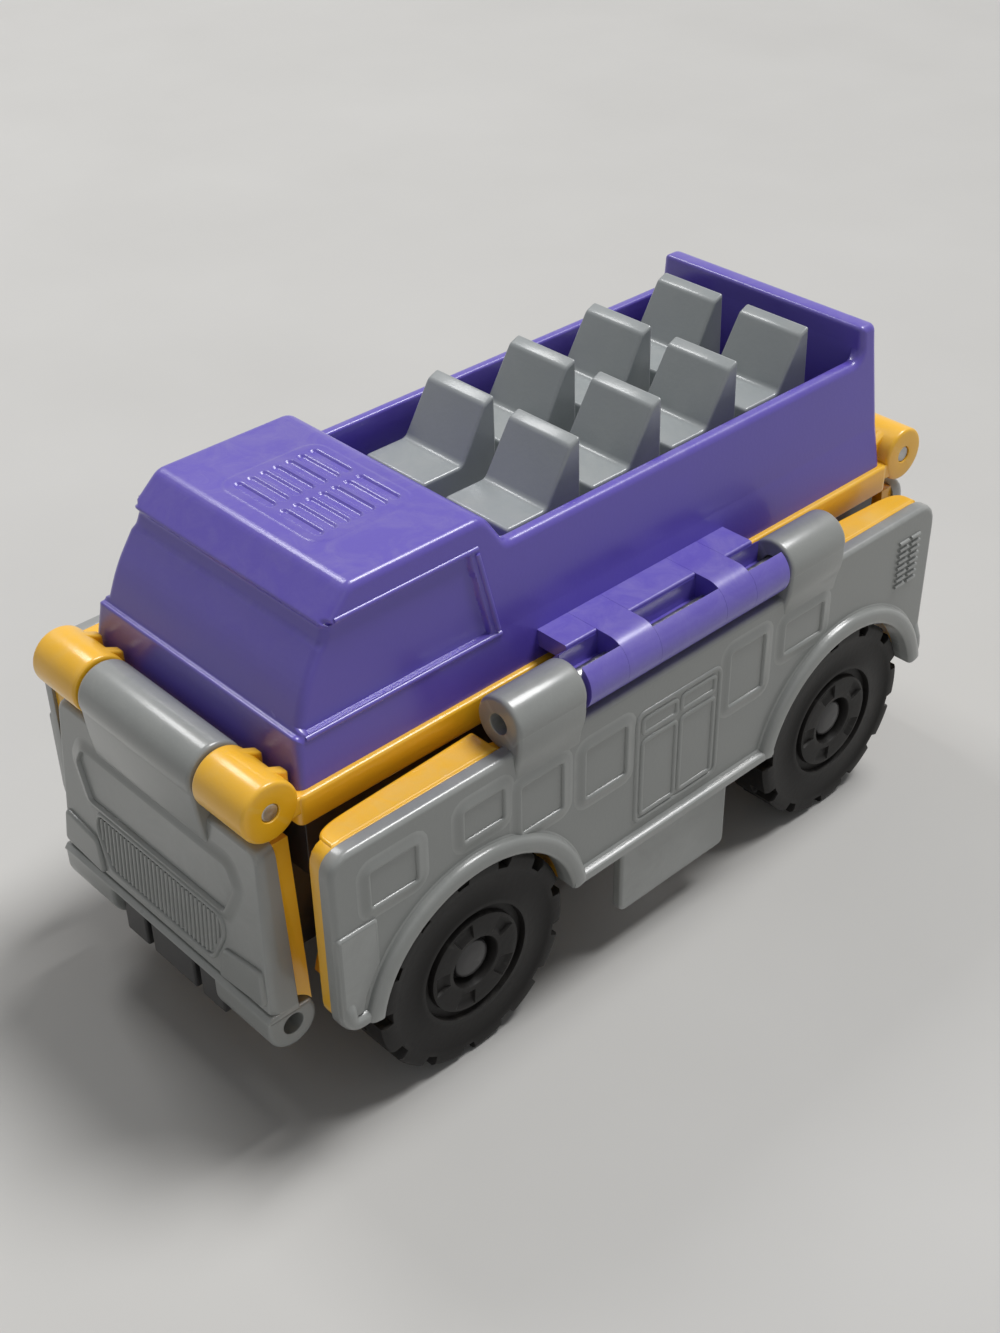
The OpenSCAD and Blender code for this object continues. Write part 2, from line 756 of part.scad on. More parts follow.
module side_barrels() {
    for (e = [[side_hinge_y0, side_knuckle_y0 - swing_gap], [side_knuckle_y1 + swing_gap, side_hinge_y1]]) {
        rod_y(e[0], e[1], side_axis_x, axis_z, side_barrel_d);
        slab_y(e[0], e[1])
            polygon([[seam_x, axis_z], [side_axis_x + side_barrel_r, axis_z],
                [side_axis_x + side_barrel_r, axis_z - neck_drop / 2], [face_x, axis_z - neck_drop],
                [seam_x, axis_z - neck_drop]]);
    }
}

module side_pegs(gap) {
    for (s = side_peg_shares)
        rod_x(inner_x, seam_x + over, wheel_mid + wheel_base * s[0], sill_z + (side_top_z - sill_z) * s[1],
            peg_d + gap * 2);
}

module side_shell() {
    difference() {
        union() {
            intersection() {
                slab_x(seam_x, face_x)
                    side_outline(0, arch_r);
                slab_y(-deck_len, deck_len)
                    polygon([[seam_x, sill_z], [seam_x, side_top_z], [face_x - side_edge, side_top_z],
                        [face_x, side_top_z - side_edge], [face_x, sill_z]]);
            }
            slab_x(seam_x, lip_x)
                intersection() {
                    for (y = wheel_ys)
                        translate([y, wheel_z])
                            difference() {
                                circle(r = arch_r + lip_w);
                                circle(r = arch_r);
                            }
                    translate([-deck_len, sill_z])
                        square([deck_len * 2, arch_r * 2]);
                }
            block([seam_x, wheel_ys[0] + arch_r, sill_z], [lip_x, wheel_ys[1] - arch_r, sill_z + sill_h]);
            block([seam_x, side_hinge_mid - skirt_len / 2, sill_z - skirt_h],
                [seam_x + skirt_t, side_hinge_mid + skirt_len / 2, sill_z + sill_h / 2]);
            side_barrels();
            side_relief_up();
            intersection() {
                side_pegs(0);
                block([inner_x, -deck_len, 0], [seam_x + over, deck_len, axis_z]);
            }
        }
        side_relief_down();
        rod_y(side_hinge_y0 - over, side_hinge_y1 + over, side_axis_x, axis_z, pin_d + run_gap * 2);
    }
}

// Wheel well, strap and boss that carry one wheel pin
module wheel_well(y) {
    slab_x(strap_x, seam_x)
        intersection() {
            translate([y, wheel_z])
                difference() {
                    circle(r = well_r);
                    circle(r = arch_r);
                }
            translate([-deck_len, sill_z])
                square([deck_len * 2, well_r * 2]);
        }
    slab_x(strap_x, strap_x + strap_t) {
        translate([y - strap_w / 2, wheel_z])
            square([strap_w, arch_r + well_wall / 2]);
        translate([y, wheel_z])
            circle(d = strap_w);
    }
    rod_x(strap_boss_x, strap_x + over, y, wheel_z, strap_w - strap_t);
}

// Rim that closes the gap between liner and core in front of the hinge and behind it
module side_rim() {
    difference() {
        intersection() {
            slab_x(rim_x, seam_x)
                side_outline(seat_gap * 2, arch_r);
            block([rim_x - over, -deck_len, side_top_z - rim_t], [seam_x, deck_len, axis_z]);
        }
        block([rim_x - over, side_hinge_y0 - swing_gap, core_low_z - core_t],
            [seam_x + over, side_hinge_y1 + swing_gap, axis_z + over]);
    }
}

module side_liner() {
    difference() {
        union() {
            difference() {
                slab_x(inner_x, seam_x)
                    side_outline(seat_gap * 2, arch_r);
                rod_y(side_hinge_y0 - swing_gap, side_hinge_y1 + swing_gap, side_axis_x, axis_z,
                    side_barrel_d + seat_gap * 4);
            }
            side_rim();
            for (y = wheel_ys)
                wheel_well(y);
        }
        side_pegs(press_gap);
        for (y = wheel_ys)
            rod_x(strap_boss_x - over, strap_x + strap_t + over, y, wheel_z, wheel_pin_d + press_gap * 2);
    }
}

module side_pin() {
    rod_y(side_hinge_y0 + pin_recess, side_hinge_y1 - pin_recess, side_axis_x, axis_z, pin_d);
}

// Wheels

module side_wheel(y) {
    translate([wheel_in_x, y, wheel_z])
        rotate([0, 90, 0])
            difference() {
                cylinder(d = wheel_d, h = wheel_w);
                translate([0, 0, -over])
                    cylinder(d = wheel_pin_d + run_gap * 2, h = wheel_w + over * 2);
                translate([0, 0, wheel_w - hub_recess])
                    cylinder(d = hub_d, h = hub_recess + over);
                translate([0, 0, wheel_w - groove_depth])
                    difference() {
                        cylinder(d = groove_d, h = groove_depth + over);
                        translate([0, 0, -over])
                            cylinder(d = groove_d - groove_w * 2, h = groove_depth + over * 3);
                    }
                for (i = [0 : spokes - 1])
                    rotate(360 * i / spokes)
                        translate([(hub_d + groove_d - groove_w * 2) / 4, 0, wheel_w])
                            cube([spoke_w, spoke_len, groove_depth], center = true);
                for (i = [0 : tread_blocks - 1])
                    rotate(360 * i / tread_blocks)
                        tread_gaps();
            }
}

// One gap in the tread near each face, half a block apart
module tread_gaps() {
    gap_w = wheel_d * PI / tread_blocks * tread_gap_share;
    translate([wheel_d / 2 - tread_depth, -gap_w / 2, -over])
        cube([tread_depth + over, gap_w, wheel_w * tread_reach_share + over]);
    rotate(180 / tread_blocks)
        translate([wheel_d / 2 - tread_depth, -gap_w / 2, wheel_w * (1 - tread_reach_share)])
            cube([tread_depth + over, gap_w, wheel_w * tread_reach_share + over]);
}

module side_wheel_pin(y) {
    head_x = wheel_out_x - hub_recess;
    rod_x(strap_boss_x, head_x + swing_gap + pin_head_t / 2, y, wheel_z, wheel_pin_d);
    rod_x(head_x + swing_gap, head_x + swing_gap + pin_head_t, y, wheel_z, pin_head_d);
}

// End panels, drawn at the rear of the bus

// Point of an end panel from its shares of half width and of the height from bumper to top edge
function end_point(s) = let (half = end_low_w / 2 + (end_top_w - end_low_w) / 2 * s[1])
    [half * s[0], bumper_z + (end_top_z - bumper_z) * s[1]];

// Outline of an end panel in the rear view, inset at top and sides, down to foot_z
module end_outline(inset, foot_z) {
    low = end_low_w / 2 - inset;
    top = end_top_w / 2 - inset;
    polygon([[-top, end_top_z - inset], [top, end_top_z - inset], [low, bumper_z], [low, foot_z],
        [-low, foot_z], [-low, bumper_z]]);
}

// Depth profile of an end shell in the side view
module end_depth() {
    polygon([[end_seam_y, end_top_z], [face_top_y, end_top_z],
        [face_low_y, bumper_z + ledge_h], [face_low_y + ledge_proud, bumper_z],
        [face_low_y + ledge_proud, eye_z], [end_seam_y, eye_z]]);
}

// The panel's own form, grown outwards along the bus by grow
module end_block(grow) {
    intersection() {
        slab_y(end_seam_y, face_low_y + ledge_proud + grow)
            end_outline(0, eye_z);
        translate([0, grow, 0])
            slab_x(-end_low_w, end_low_w)
                end_depth();
    }
}

// A raised lamp on each side of the face
module end_lamps(shares) {
    both_sides()
        intersection() {
            end_block(relief);
            slab_y(end_axis_y, face_low_y + ledge_proud + relief)
                polygon([for (s = shares) end_point(s)]);
        }
}

// A shallow recess in the leaning face
module end_recess(shares) {
    difference() {
        slab_y(end_axis_y, face_low_y + ledge_proud + over)
            polygon([for (s = shares) end_point(s)]);
        translate([0, -relief, 0])
            slab_x(-end_low_w, end_low_w)
                end_depth();
    }
}

module end_pegs(gap) {
    place = end_point(end_peg_shares);
    both_sides()
        rod_y(end_inner_y, end_seam_y + over, place[0], place[1], peg_d + gap * 2);
}

// The panel's barrel and the neck that flows from it into the face
module end_knuckle() {
    foot_z = end_top_z - end_top_drop / 2;
    front_y = end_axis_y + end_barrel_r;
    rod_x(-end_knuckle_x, end_knuckle_x, end_axis_y, axis_z, end_barrel_d);
    slab_x(-end_knuckle_x, end_knuckle_x)
        polygon([[end_seam_y, axis_z], [front_y, axis_z], [front_y, axis_z - end_barrel_r / 2],
            [face_top_y, foot_z], [end_seam_y, foot_z]]);
}

// A shell with its two recesses and its lamps
module end_shell(upper_shares, lower_shares, lamp_shares) {
    difference() {
        union() {
            end_block(0);
            end_lamps(lamp_shares);
            end_knuckle();
            both_sides()
                rod_x(lug_in_x, lug_out_x, eye_y, eye_z, lug_d);
            end_pegs(0);
        }
        end_recess(upper_shares);
        end_recess(lower_shares);
        block([-lug_in_x, end_seam_y - over, eye_z - over],
            [lug_in_x, face_low_y + ledge_proud + over, gap_top_z]);
        rod_x(-end_knuckle_x - over, end_knuckle_x + over, end_axis_y, axis_z, pin_d + run_gap * 2);
        both_sides()
            rod_x(lug_in_x - over, lug_out_x + over, eye_y, eye_z, eye_d);
    }
}

// Fine upright ribs in the front panel's grille
module grille_bars() {
    low = end_point(grille_shares[2]);
    high = end_point(grille_shares[0]);
    pitch = low[0] * 2 / (grille_ribs + 1);
    for (i = [1 : grille_ribs])
        intersection() {
            end_block(0);
            translate([i * pitch - low[0], 0, 0])
                slab_y(face_top_y - relief, face_low_y + relief)
                    translate([-pitch / 4, low[1]])
                        square([pitch / 2, high[1] - low[1]]);
        }
}

// The liner ends above the lugs, and a tongue between them backs the insert
module end_liner() {
    difference() {
        slab_y(end_inner_y, end_seam_y)
            end_outline(seat_gap * 3, end_floor_gap);
        end_pegs(press_gap);
        both_sides() {
            block([lug_in_x - seat_gap, end_inner_y - over, end_floor_gap - over],
                [end_low_w, end_seam_y + over, eye_z]);
            rod_x(lug_in_x - seat_gap, end_low_w, eye_y, eye_z, lug_d + seat_gap * 2);
        }
    }
}

module end_insert() {
    half = lug_in_x - seat_gap;
    difference() {
        slab_y(end_seam_y, end_seam_y + insert_t)
            translate([-half, end_floor_gap])
                square([half * 2, gap_top_z - seat_gap - end_floor_gap]);
        for (side = [-1, 1])
            translate([side * half * insert_slot_share - insert_slot_w / 2, 0, 0])
                slab_y(end_seam_y + insert_t / 2, end_seam_y + insert_t + over)
                    translate([0, end_floor_gap - over])
                        square([insert_slot_w, bumper_z]);
    }
}

module end_pin() {
    rod_x(-end_hinge_x + seat_gap, end_hinge_x - seat_gap, end_axis_y, axis_z, pin_d);
}

// Turned to the front of the bus
module at_front() {
    mirror([0, 1, 0])
        children();
}

module on_left() {
    mirror([1, 0, 0])
        children();
}

module front_shell() {
    color(panel_colour)
        at_front() {
            end_shell(screen_shares, grille_shares, head_lamp_shares);
            grille_bars();
        }
}

module front_liner() {
    color(liner_colour)
        at_front()
            end_liner();
}

module front_bumper_insert() {
    color(dark_colour)
        at_front()
            end_insert();
}

module front_hinge_pin() {
    color(steel_colour)
        at_front()
            end_pin();
}

module rear_shell() {
    color(panel_colour)
        end_shell(rear_window_shares, plate_shares, tail_lamp_shares);
}

module rear_liner() {
    color(liner_colour)
        end_liner();
}

module rear_bumper_insert() {
    color(dark_colour)
        end_insert();
}

module rear_hinge_pin() {
    color(steel_colour)
        end_pin();
}

module right_side_shell() {
    color(panel_colour)
        side_shell();
}

module right_side_liner() {
    color(liner_colour)
        side_liner();
}

module right_hinge_pin() {
    color(steel_colour)
        side_pin();
}

module left_side_shell() {
    color(panel_colour)
        on_left()
            side_shell();
}

module left_side_liner() {
    color(liner_colour)
        on_left()
            side_liner();
}

module left_hinge_pin() {
    color(steel_colour)
        on_left()
            side_pin();
}

module front_right_wheel() {
    color(dark_colour)
        side_wheel(wheel_ys[0]);
}

module front_left_wheel() {
    color(dark_colour)
        on_left()
            side_wheel(wheel_ys[0]);
}

module rear_right_wheel() {
    color(dark_colour)
        side_wheel(wheel_ys[1]);
}

module rear_left_wheel() {
    color(dark_colour)
        on_left()
            side_wheel(wheel_ys[1]);
}

module front_right_wheel_pin() {
    color(steel_colour)
        side_wheel_pin(wheel_ys[0]);
}

module front_left_wheel_pin() {
    color(steel_colour)
        on_left()
            side_wheel_pin(wheel_ys[0]);
}

module rear_right_wheel_pin() {
    color(steel_colour)
        side_wheel_pin(wheel_ys[1]);
}

module rear_left_wheel_pin() {
    color(steel_colour)
        on_left()
            side_wheel_pin(wheel_ys[1]);
}

upper_deck();
seat_tray();
core_frame();
lower_body();
core_screws();
front_shell();
front_liner();
front_bumper_insert();
front_hinge_pin();
rear_shell();
rear_liner();
rear_bumper_insert();
rear_hinge_pin();
right_side_shell();
right_side_liner();
right_hinge_pin();
left_side_shell();
left_side_liner();
left_hinge_pin();
front_right_wheel();
front_left_wheel();
rear_right_wheel();
rear_left_wheel();
front_right_wheel_pin();
front_left_wheel_pin();
rear_right_wheel_pin();
rear_left_wheel_pin();
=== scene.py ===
# %% [markdown]
# # A folding toy bus, dressed piece by piece
# The real toy is a handful of plastic mouldings round an orange core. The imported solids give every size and
# joint, but their faces are plain and their edges sharp. They could be bevelled one by one. This lesson
# loads them as a fixed frame instead and builds softer, finer surfaces over them with numpy, so that every
# size stays in view.

# %% Load the frame
import bmesh
import bpy
import numpy as np
from mathutils import Matrix


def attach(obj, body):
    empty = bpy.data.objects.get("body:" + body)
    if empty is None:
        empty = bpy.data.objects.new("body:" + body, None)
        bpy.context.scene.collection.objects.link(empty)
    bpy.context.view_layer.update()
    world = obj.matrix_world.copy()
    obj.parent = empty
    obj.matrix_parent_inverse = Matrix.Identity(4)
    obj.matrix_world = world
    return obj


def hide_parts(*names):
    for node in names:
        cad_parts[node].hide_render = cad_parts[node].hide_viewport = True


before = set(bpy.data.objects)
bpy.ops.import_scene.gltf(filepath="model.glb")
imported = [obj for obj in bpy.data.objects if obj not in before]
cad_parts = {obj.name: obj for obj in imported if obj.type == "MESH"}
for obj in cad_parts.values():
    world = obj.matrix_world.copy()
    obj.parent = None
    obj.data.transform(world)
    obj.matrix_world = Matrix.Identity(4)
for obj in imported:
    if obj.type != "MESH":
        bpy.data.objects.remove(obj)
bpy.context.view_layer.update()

MM = 0.001

# %% [markdown]
# ## Camera
# The photo looks down on the bus from its front right corner. A camera could be placed by eye, but then few
# edges would fall where they do in the picture. So its place, turn and lens come from a fit of the hinge
# axes, wheel centres and deck edges, and one matrix holds the view: three axes and the place of the eye in
# metres.

# %% Camera
SENSOR, FOCUS_PIXELS, PHOTO_PIXELS = 36, 1809.35, 1333
RIGHT = np.array([0.6862, 0.7274, -0.0138])
UP = np.array([-0.4157, 0.4076, 0.8132])
BACK = np.array([0.5971, -0.5522, 0.5820])
EYE = np.array([0.10262, -0.09699, 0.12031])
view = bpy.data.cameras.new("photo_view")
view.sensor_width = SENSOR
view.lens = FOCUS_PIXELS / PHOTO_PIXELS * SENSOR
view.clip_start = 0.005
camera = bpy.data.objects.new("photo_view", view)
bpy.context.collection.objects.link(camera)
turn = np.eye(4)
turn[:3, 0], turn[:3, 1], turn[:3, 2], turn[:3, 3] = RIGHT, UP, BACK, EYE
camera.matrix_world = Matrix(turn.tolist())
bpy.context.scene.camera = camera
print("lens mm:", round(view.lens, 2))

# %% [markdown]
# ## Shared finish: the skin of a moulded piece
# Injection-moulded plastic is never one flat colour. It has a very fine grain, soft blotches where the melt
# cooled, rubbed edges, thin scuffs and dust on faces that look up. Each material could have its own nodes
# for these, but every plastic here needs them all. So they are one node group with named inputs, and each
# material gives it its own values. Only the steel of pins and screws is made without it.

# %% Node helpers
def link_all(tree, *pairs):
    """Joins each pair of sockets (from, to)."""
    for a, b in pairs:
        tree.links.new(a, b)


def add(tree, kind, **values):
    """One node, with its inputs set by name and its other settings as attributes."""
    n = tree.nodes.new(kind)
    for key, value in values.items():
        if key in n.inputs:
            n.inputs[key].default_value = value
        else:
            setattr(n, key, value)
    return n


def blend_colour(tree):
    """The sockets of a new colour mix node: factor, first, second, result."""
    n = tree.nodes.new("ShaderNodeMix")
    n.data_type = "RGBA"
    return n.inputs[0], n.inputs[6], n.inputs[7], n.outputs[2]


def new_material(name):
    """A material, its node tree and its shader."""
    m = bpy.data.materials.new(name)
    m.use_nodes = True
    return m, m.node_tree, m.node_tree.nodes["Principled BSDF"]


# %% The moulded skin group
def moulded_skin():
    """Colour = base, mottled by slow noise, rubbed pale on edges, dusted where the normal looks up."""
    g = bpy.data.node_groups.new("moulded_skin", "ShaderNodeTree")
    for name, kind in (("Base", "Color"), ("Rubbed", "Color"), ("Dust", "Color"), ("Mottle", "Float"),
                       ("Wear", "Float"), ("Dustiness", "Float"), ("Roughness", "Float"), ("Grain", "Float")):
        g.interface.new_socket(name=name, in_out="INPUT", socket_type="NodeSocket" + kind)
    for name, kind in (("Color", "Color"), ("Roughness", "Float"), ("Height", "Float")):
        g.interface.new_socket(name=name, in_out="OUTPUT", socket_type="NodeSocket" + kind)
    given, result = add(g, "NodeGroupInput"), add(g, "NodeGroupOutput")
    place = add(g, "ShaderNodeTexCoord").outputs["Object"]
    shape = add(g, "ShaderNodeNewGeometry")
    slow = add(g, "ShaderNodeTexNoise", Scale=130.0, Detail=3.0, Roughness=0.6)
    fine = add(g, "ShaderNodeTexNoise", Detail=2.0, Roughness=0.5)
    scuff = add(g, "ShaderNodeTexNoise", Scale=260.0, Detail=6.0, Roughness=0.7, Distortion=1.2)
    for n in (slow, fine, scuff):
        g.links.new(place, n.inputs["Vector"])
    g.links.new(given.outputs["Grain"], fine.inputs["Scale"])

    spread = add(g, "ShaderNodeMapRange", **{"To Min": -1.0, "To Max": 1.0})
    mottle = add(g, "ShaderNodeMath", operation="MULTIPLY")
    bright = add(g, "ShaderNodeHueSaturation")
    one_up = add(g, "ShaderNodeMath", operation="ADD")
    one_up.inputs[1].default_value = 1.0
    link_all(g, (slow.outputs["Fac"], spread.inputs["Value"]), (spread.outputs[0], mottle.inputs[0]),
             (given.outputs["Mottle"], mottle.inputs[1]), (mottle.outputs[0], one_up.inputs[0]),
             (one_up.outputs[0], bright.inputs["Value"]), (given.outputs["Base"], bright.inputs["Color"]))

    edge = add(g, "ShaderNodeMapRange", **{"From Min": 0.51, "From Max": 0.58})
    rub = add(g, "ShaderNodeMath", operation="MULTIPLY")
    rubbed = add(g, "ShaderNodeMath", operation="MULTIPLY", use_clamp=True)
    link_all(g, (shape.outputs["Pointiness"], edge.inputs["Value"]), (edge.outputs[0], rub.inputs[0]),
             (scuff.outputs["Fac"], rub.inputs[1]), (rub.outputs[0], rubbed.inputs[0]),
             (given.outputs["Wear"], rubbed.inputs[1]))
    wear_share, fresh, pale, worn = blend_colour(g)
    link_all(g, (rubbed.outputs[0], wear_share), (bright.outputs[0], fresh),
             (given.outputs["Rubbed"], pale))

    axes = add(g, "ShaderNodeSeparateXYZ")
    up = add(g, "ShaderNodeMapRange", **{"From Min": 0.35})
    speck = add(g, "ShaderNodeMapRange", **{"From Min": 0.42, "From Max": 0.75})
    lying = add(g, "ShaderNodeMath", operation="MULTIPLY")
    dusty = add(g, "ShaderNodeMath", operation="MULTIPLY", use_clamp=True)
    dust_share, clean, dust, done = blend_colour(g)
    link_all(g, (shape.outputs["Normal"], axes.inputs[0]), (axes.outputs["Z"], up.inputs["Value"]),
             (scuff.outputs["Fac"], speck.inputs["Value"]), (up.outputs[0], lying.inputs[0]),
             (speck.outputs[0], lying.inputs[1]), (lying.outputs[0], dusty.inputs[0]),
             (given.outputs["Dustiness"], dusty.inputs[1]), (dusty.outputs[0], dust_share), (worn, clean),
             (given.outputs["Dust"], dust), (done, result.inputs["Color"]))

    rough = add(g, "ShaderNodeMath", operation="MULTIPLY_ADD", use_clamp=True)
    rough.inputs[1].default_value = 0.1
    link_all(g, (spread.outputs[0], rough.inputs[0]), (given.outputs["Roughness"], rough.inputs[2]),
             (rough.outputs[0], result.inputs["Roughness"]), (fine.outputs["Fac"], result.inputs["Height"]))
    return g


SKIN = moulded_skin()
print("group inputs:", [s.name for s in SKIN.interface.items_tree if s.in_out == "INPUT"])


# %% Plastics and steel
DUST, COAT_ROUGHNESS = (0.62, 0.58, 0.52, 1), 0.16


def plastic(name, colour, rubbed, roughness, mottle=0.05, wear=0.5, dust=0.12, grain=2600.0, bump=0.05,
            coat=0.45, specular=0.5):
    """A moulded plastic: the shared skin feeds colour, roughness and a fine bump."""
    m, t, shader = new_material(name)
    shader.inputs["Coat Weight"].default_value = coat
    shader.inputs["Coat Roughness"].default_value = COAT_ROUGHNESS
    shader.inputs["Specular IOR Level"].default_value = specular
    skin = t.nodes.new("ShaderNodeGroup")
    skin.node_tree = SKIN
    for key, value in (("Base", (*colour, 1)), ("Rubbed", (*rubbed, 1)), ("Dust", DUST), ("Mottle", mottle),
                       ("Wear", wear), ("Dustiness", dust), ("Roughness", roughness), ("Grain", grain)):
        skin.inputs[key].default_value = value
    lift = add(t, "ShaderNodeBump", Strength=bump, Distance=0.0002)
    link_all(t, (skin.outputs["Color"], shader.inputs["Base Color"]),
             (skin.outputs["Roughness"], shader.inputs["Roughness"]),
             (skin.outputs["Height"], lift.inputs["Height"]), (lift.outputs[0], shader.inputs["Normal"]))
    return m


def drawn_steel():
    """Dull wire: fine specks in colour, roughness and bump."""
    m, t, shader = new_material("drawn_steel")
    shader.inputs["Metallic"].default_value = 1.0
    place = add(t, "ShaderNodeTexCoord")
    specks = add(t, "ShaderNodeTexNoise", Scale=1500.0, Detail=4.0)
    tone = add(t, "ShaderNodeValToRGB")
    tone.color_ramp.elements[0].color = (0.3, 0.3, 0.3, 1)
    tone.color_ramp.elements[1].color = (0.62, 0.61, 0.59, 1)
    rough = add(t, "ShaderNodeMapRange", **{"To Min": 0.28, "To Max": 0.5})
    lift = add(t, "ShaderNodeBump", Strength=0.08, Distance=0.0001)
    link_all(t, (place.outputs["Object"], specks.inputs["Vector"]),
             (specks.outputs["Fac"], tone.inputs["Fac"]),
             (tone.outputs["Color"], shader.inputs["Base Color"]),
             (specks.outputs["Fac"], rough.inputs["Value"]), (rough.outputs[0], shader.inputs["Roughness"]),
             (specks.outputs["Fac"], lift.inputs["Height"]), (lift.outputs[0], shader.inputs["Normal"]))
    return m


FINISH = {
    "purple_plastic": plastic("purple_plastic", (0.12, 0.08, 0.5), (0.3, 0.26, 0.7), 0.33),
    "grey_plastic": plastic("grey_plastic", (0.275, 0.285, 0.275), (0.5, 0.51, 0.5), 0.32),
    "seat_plastic": plastic("seat_plastic", (0.295, 0.32, 0.325), (0.56, 0.57, 0.57), 0.34),
    "orange_plastic": plastic("orange_plastic", (1.0, 0.53, 0.012), (1.0, 0.64, 0.12), 0.34),
    "charcoal_plastic": plastic("charcoal_plastic", (0.018, 0.017, 0.018), (0.06, 0.06, 0.06), 0.5,
                                dust=0.06),
    "wheel_plastic": plastic("wheel_plastic", (0.012, 0.011, 0.0105), (0.05, 0.048, 0.046), 0.5, wear=0.7,
                             dust=0.06, mottle=0.12, grain=1800.0, bump=0.1, coat=0.0, specular=0.25),
    "steel": drawn_steel(),
}
print("finishes:", list(FINISH))

# %% [markdown]
# ## Tools for surfaces
# Four helpers make nearly all pieces. `rounded` softens the corners of an outline. `moulding` carries an
# outline through a depth and rounds both rims. `turned` spins a profile round an axis. `bead` lays a raised
# line on a face. Blender's extrude, bevel and spin could do the same by hand. As formulas on whole arrays,
# in millimetres, they can be rerun, and a size is changed in one place.

# %% Outlines
def rounded(points, radii, steps=6, closed=True):
    """Each corner P becomes the curve (1-t)^2 A + 2t(1-t) P + t^2 B, where A and B lie a radius away from P
    on its two sides."""
    p = np.asarray(points, float)
    r = np.broadcast_to(np.asarray(radii, float), (len(p),))
    before, after = np.roll(p, 1, 0) - p, np.roll(p, -1, 0) - p
    lb, la = np.linalg.norm(before, axis=1), np.linalg.norm(after, axis=1)
    cut_b = np.minimum(r, lb * 0.49)[:, None]
    cut_a = np.minimum(r, la * 0.49)[:, None]
    a = p + before / np.maximum(lb, 1e-9)[:, None] * cut_b
    b = p + after / np.maximum(la, 1e-9)[:, None] * cut_a
    t = np.linspace(0, 1, steps)[None, :, None]
    out = (1 - t) ** 2 * a[:, None] + 2 * t * (1 - t) * p[:, None] + t ** 2 * b[:, None]
    if not closed:
        out[0], out[-1] = p[0], p[-1]
    flat = out.reshape(-1, p.shape[1])
    keep = np.r_[True, np.linalg.norm(np.diff(flat, axis=0), axis=1) > 1e-5]
    return flat[keep]


def arc(centre, radius, start, end, count):
    """Points on a circle from start to end, in degrees."""
    t = np.radians(np.linspace(start, end, count))
    return np.stack([centre[0] + radius * np.cos(t), centre[1] + radius * np.sin(t)], 1)


def box_corners(left, right, low, high):
    """The four corners of an upright rectangle."""
    return [[left, low], [right, low], [right, high], [left, high]]


def outward(outline, closed=True):
    """Unit normals of an outline: its tangent turned by a right angle, pointing out of the enclosed area."""
    if closed:
        t = np.roll(outline, -1, 0) - np.roll(outline, 1, 0)
        area = np.sum(outline[:, 0] * np.roll(outline[:, 1], -1) - np.roll(outline[:, 0], -1) * outline[:, 1])
    else:
        t, area = np.gradient(outline, axis=0), 1.0
    n = np.stack([t[:, 1], -t[:, 0]], 1) * np.sign(area)
    return n / np.maximum(np.linalg.norm(n, axis=1), 1e-9)[:, None]


def grid_faces(rows, columns, wrap_rows=False, wrap_columns=False):
    """Quads of a rows x columns grid, as an index array."""
    i = np.arange(rows if wrap_rows else rows - 1)[:, None]
    j = np.arange(columns if wrap_columns else columns - 1)[None, :]
    i2, j2 = (i + 1) % rows, (j + 1) % columns
    quads = np.stack([i * columns + j, i * columns + j2, i2 * columns + j2, i2 * columns + j], -1)
    return quads.reshape(-1, 4)


def end_caps(ring, total):
    """Faces that close the first and the last ring of a grid."""
    return [list(range(ring))[::-1], list(range(total - ring, total))]


# %% Solids of an outline or a profile
ORDER = {"x": (2, 0, 1), "y": (0, 2, 1), "z": (0, 1, 2)}
FLAT_STEP = 0.05


def facing_out(points, faces):
    """Turns all faces of a closed part round if its volume, the sum of a . (b x c) over fans, is negative."""
    quads = np.array([f for f in faces if len(f) == 4])
    a, b, c, d = (points[quads[:, k]] for k in range(4))
    volume = np.sum(a * (np.cross(b, c) + np.cross(c, d)))
    for f in faces:
        if len(f) > 4:
            q = points[f]
            volume += np.sum(q[0] * np.cross(q[1:-1], q[2:]))
    return points, faces if volume > 0 else [f[::-1] for f in faces]


def inset_ring(points, cuts, d, steps=6):
    """An outline with every side moved in by d: a corner moves by 2d (m + n) / |m + n|^2, m and n being the
    inward normals of its sides. Its rounding starts a cut away from it, less d tan(half the turn)."""
    p = np.asarray(points, float)
    cuts = np.broadcast_to(np.asarray(cuts, float), (len(p),))
    side = np.roll(p, -1, 0) - p
    side /= np.linalg.norm(side, axis=1)[:, None]
    area = np.sum(p[:, 0] * np.roll(p[:, 1], -1) - np.roll(p[:, 0], -1) * p[:, 1])
    n = np.stack([-side[:, 1], side[:, 0]], 1) * np.sign(area)
    m, before = np.roll(n, 1, 0), np.roll(side, 1, 0)
    turn = np.sign(area) * (before[:, 0] * side[:, 1] - before[:, 1] * side[:, 0])
    half = turn / (1 + np.sum(before * side, 1))
    p = p + 2 * d * (m + n) / np.sum((m + n) ** 2, 1)[:, None]
    span = np.linalg.norm(np.roll(p, -1, 0) - p, axis=1)
    cut = np.clip(cuts - d * half, 0.01, None)
    count = np.where(cuts > 0, steps, 1)
    who = np.repeat(np.arange(len(p)), count)
    first = np.repeat(np.cumsum(count) - count, count)
    t = (np.arange(len(who)) - first) / np.maximum(count[who] - 1, 1)
    a = p - before * np.minimum(cut, np.roll(span, 1) * 0.49)[:, None]
    b = p + side * np.minimum(cut, span * 0.49)[:, None]
    a, b, t = a[who], b[who], t[:, None]
    curve = (1 - t) ** 2 * a + 2 * t * (1 - t) * p[who] + t ** 2 * b
    return np.where((cuts > 0)[who, None], curve, p[who])


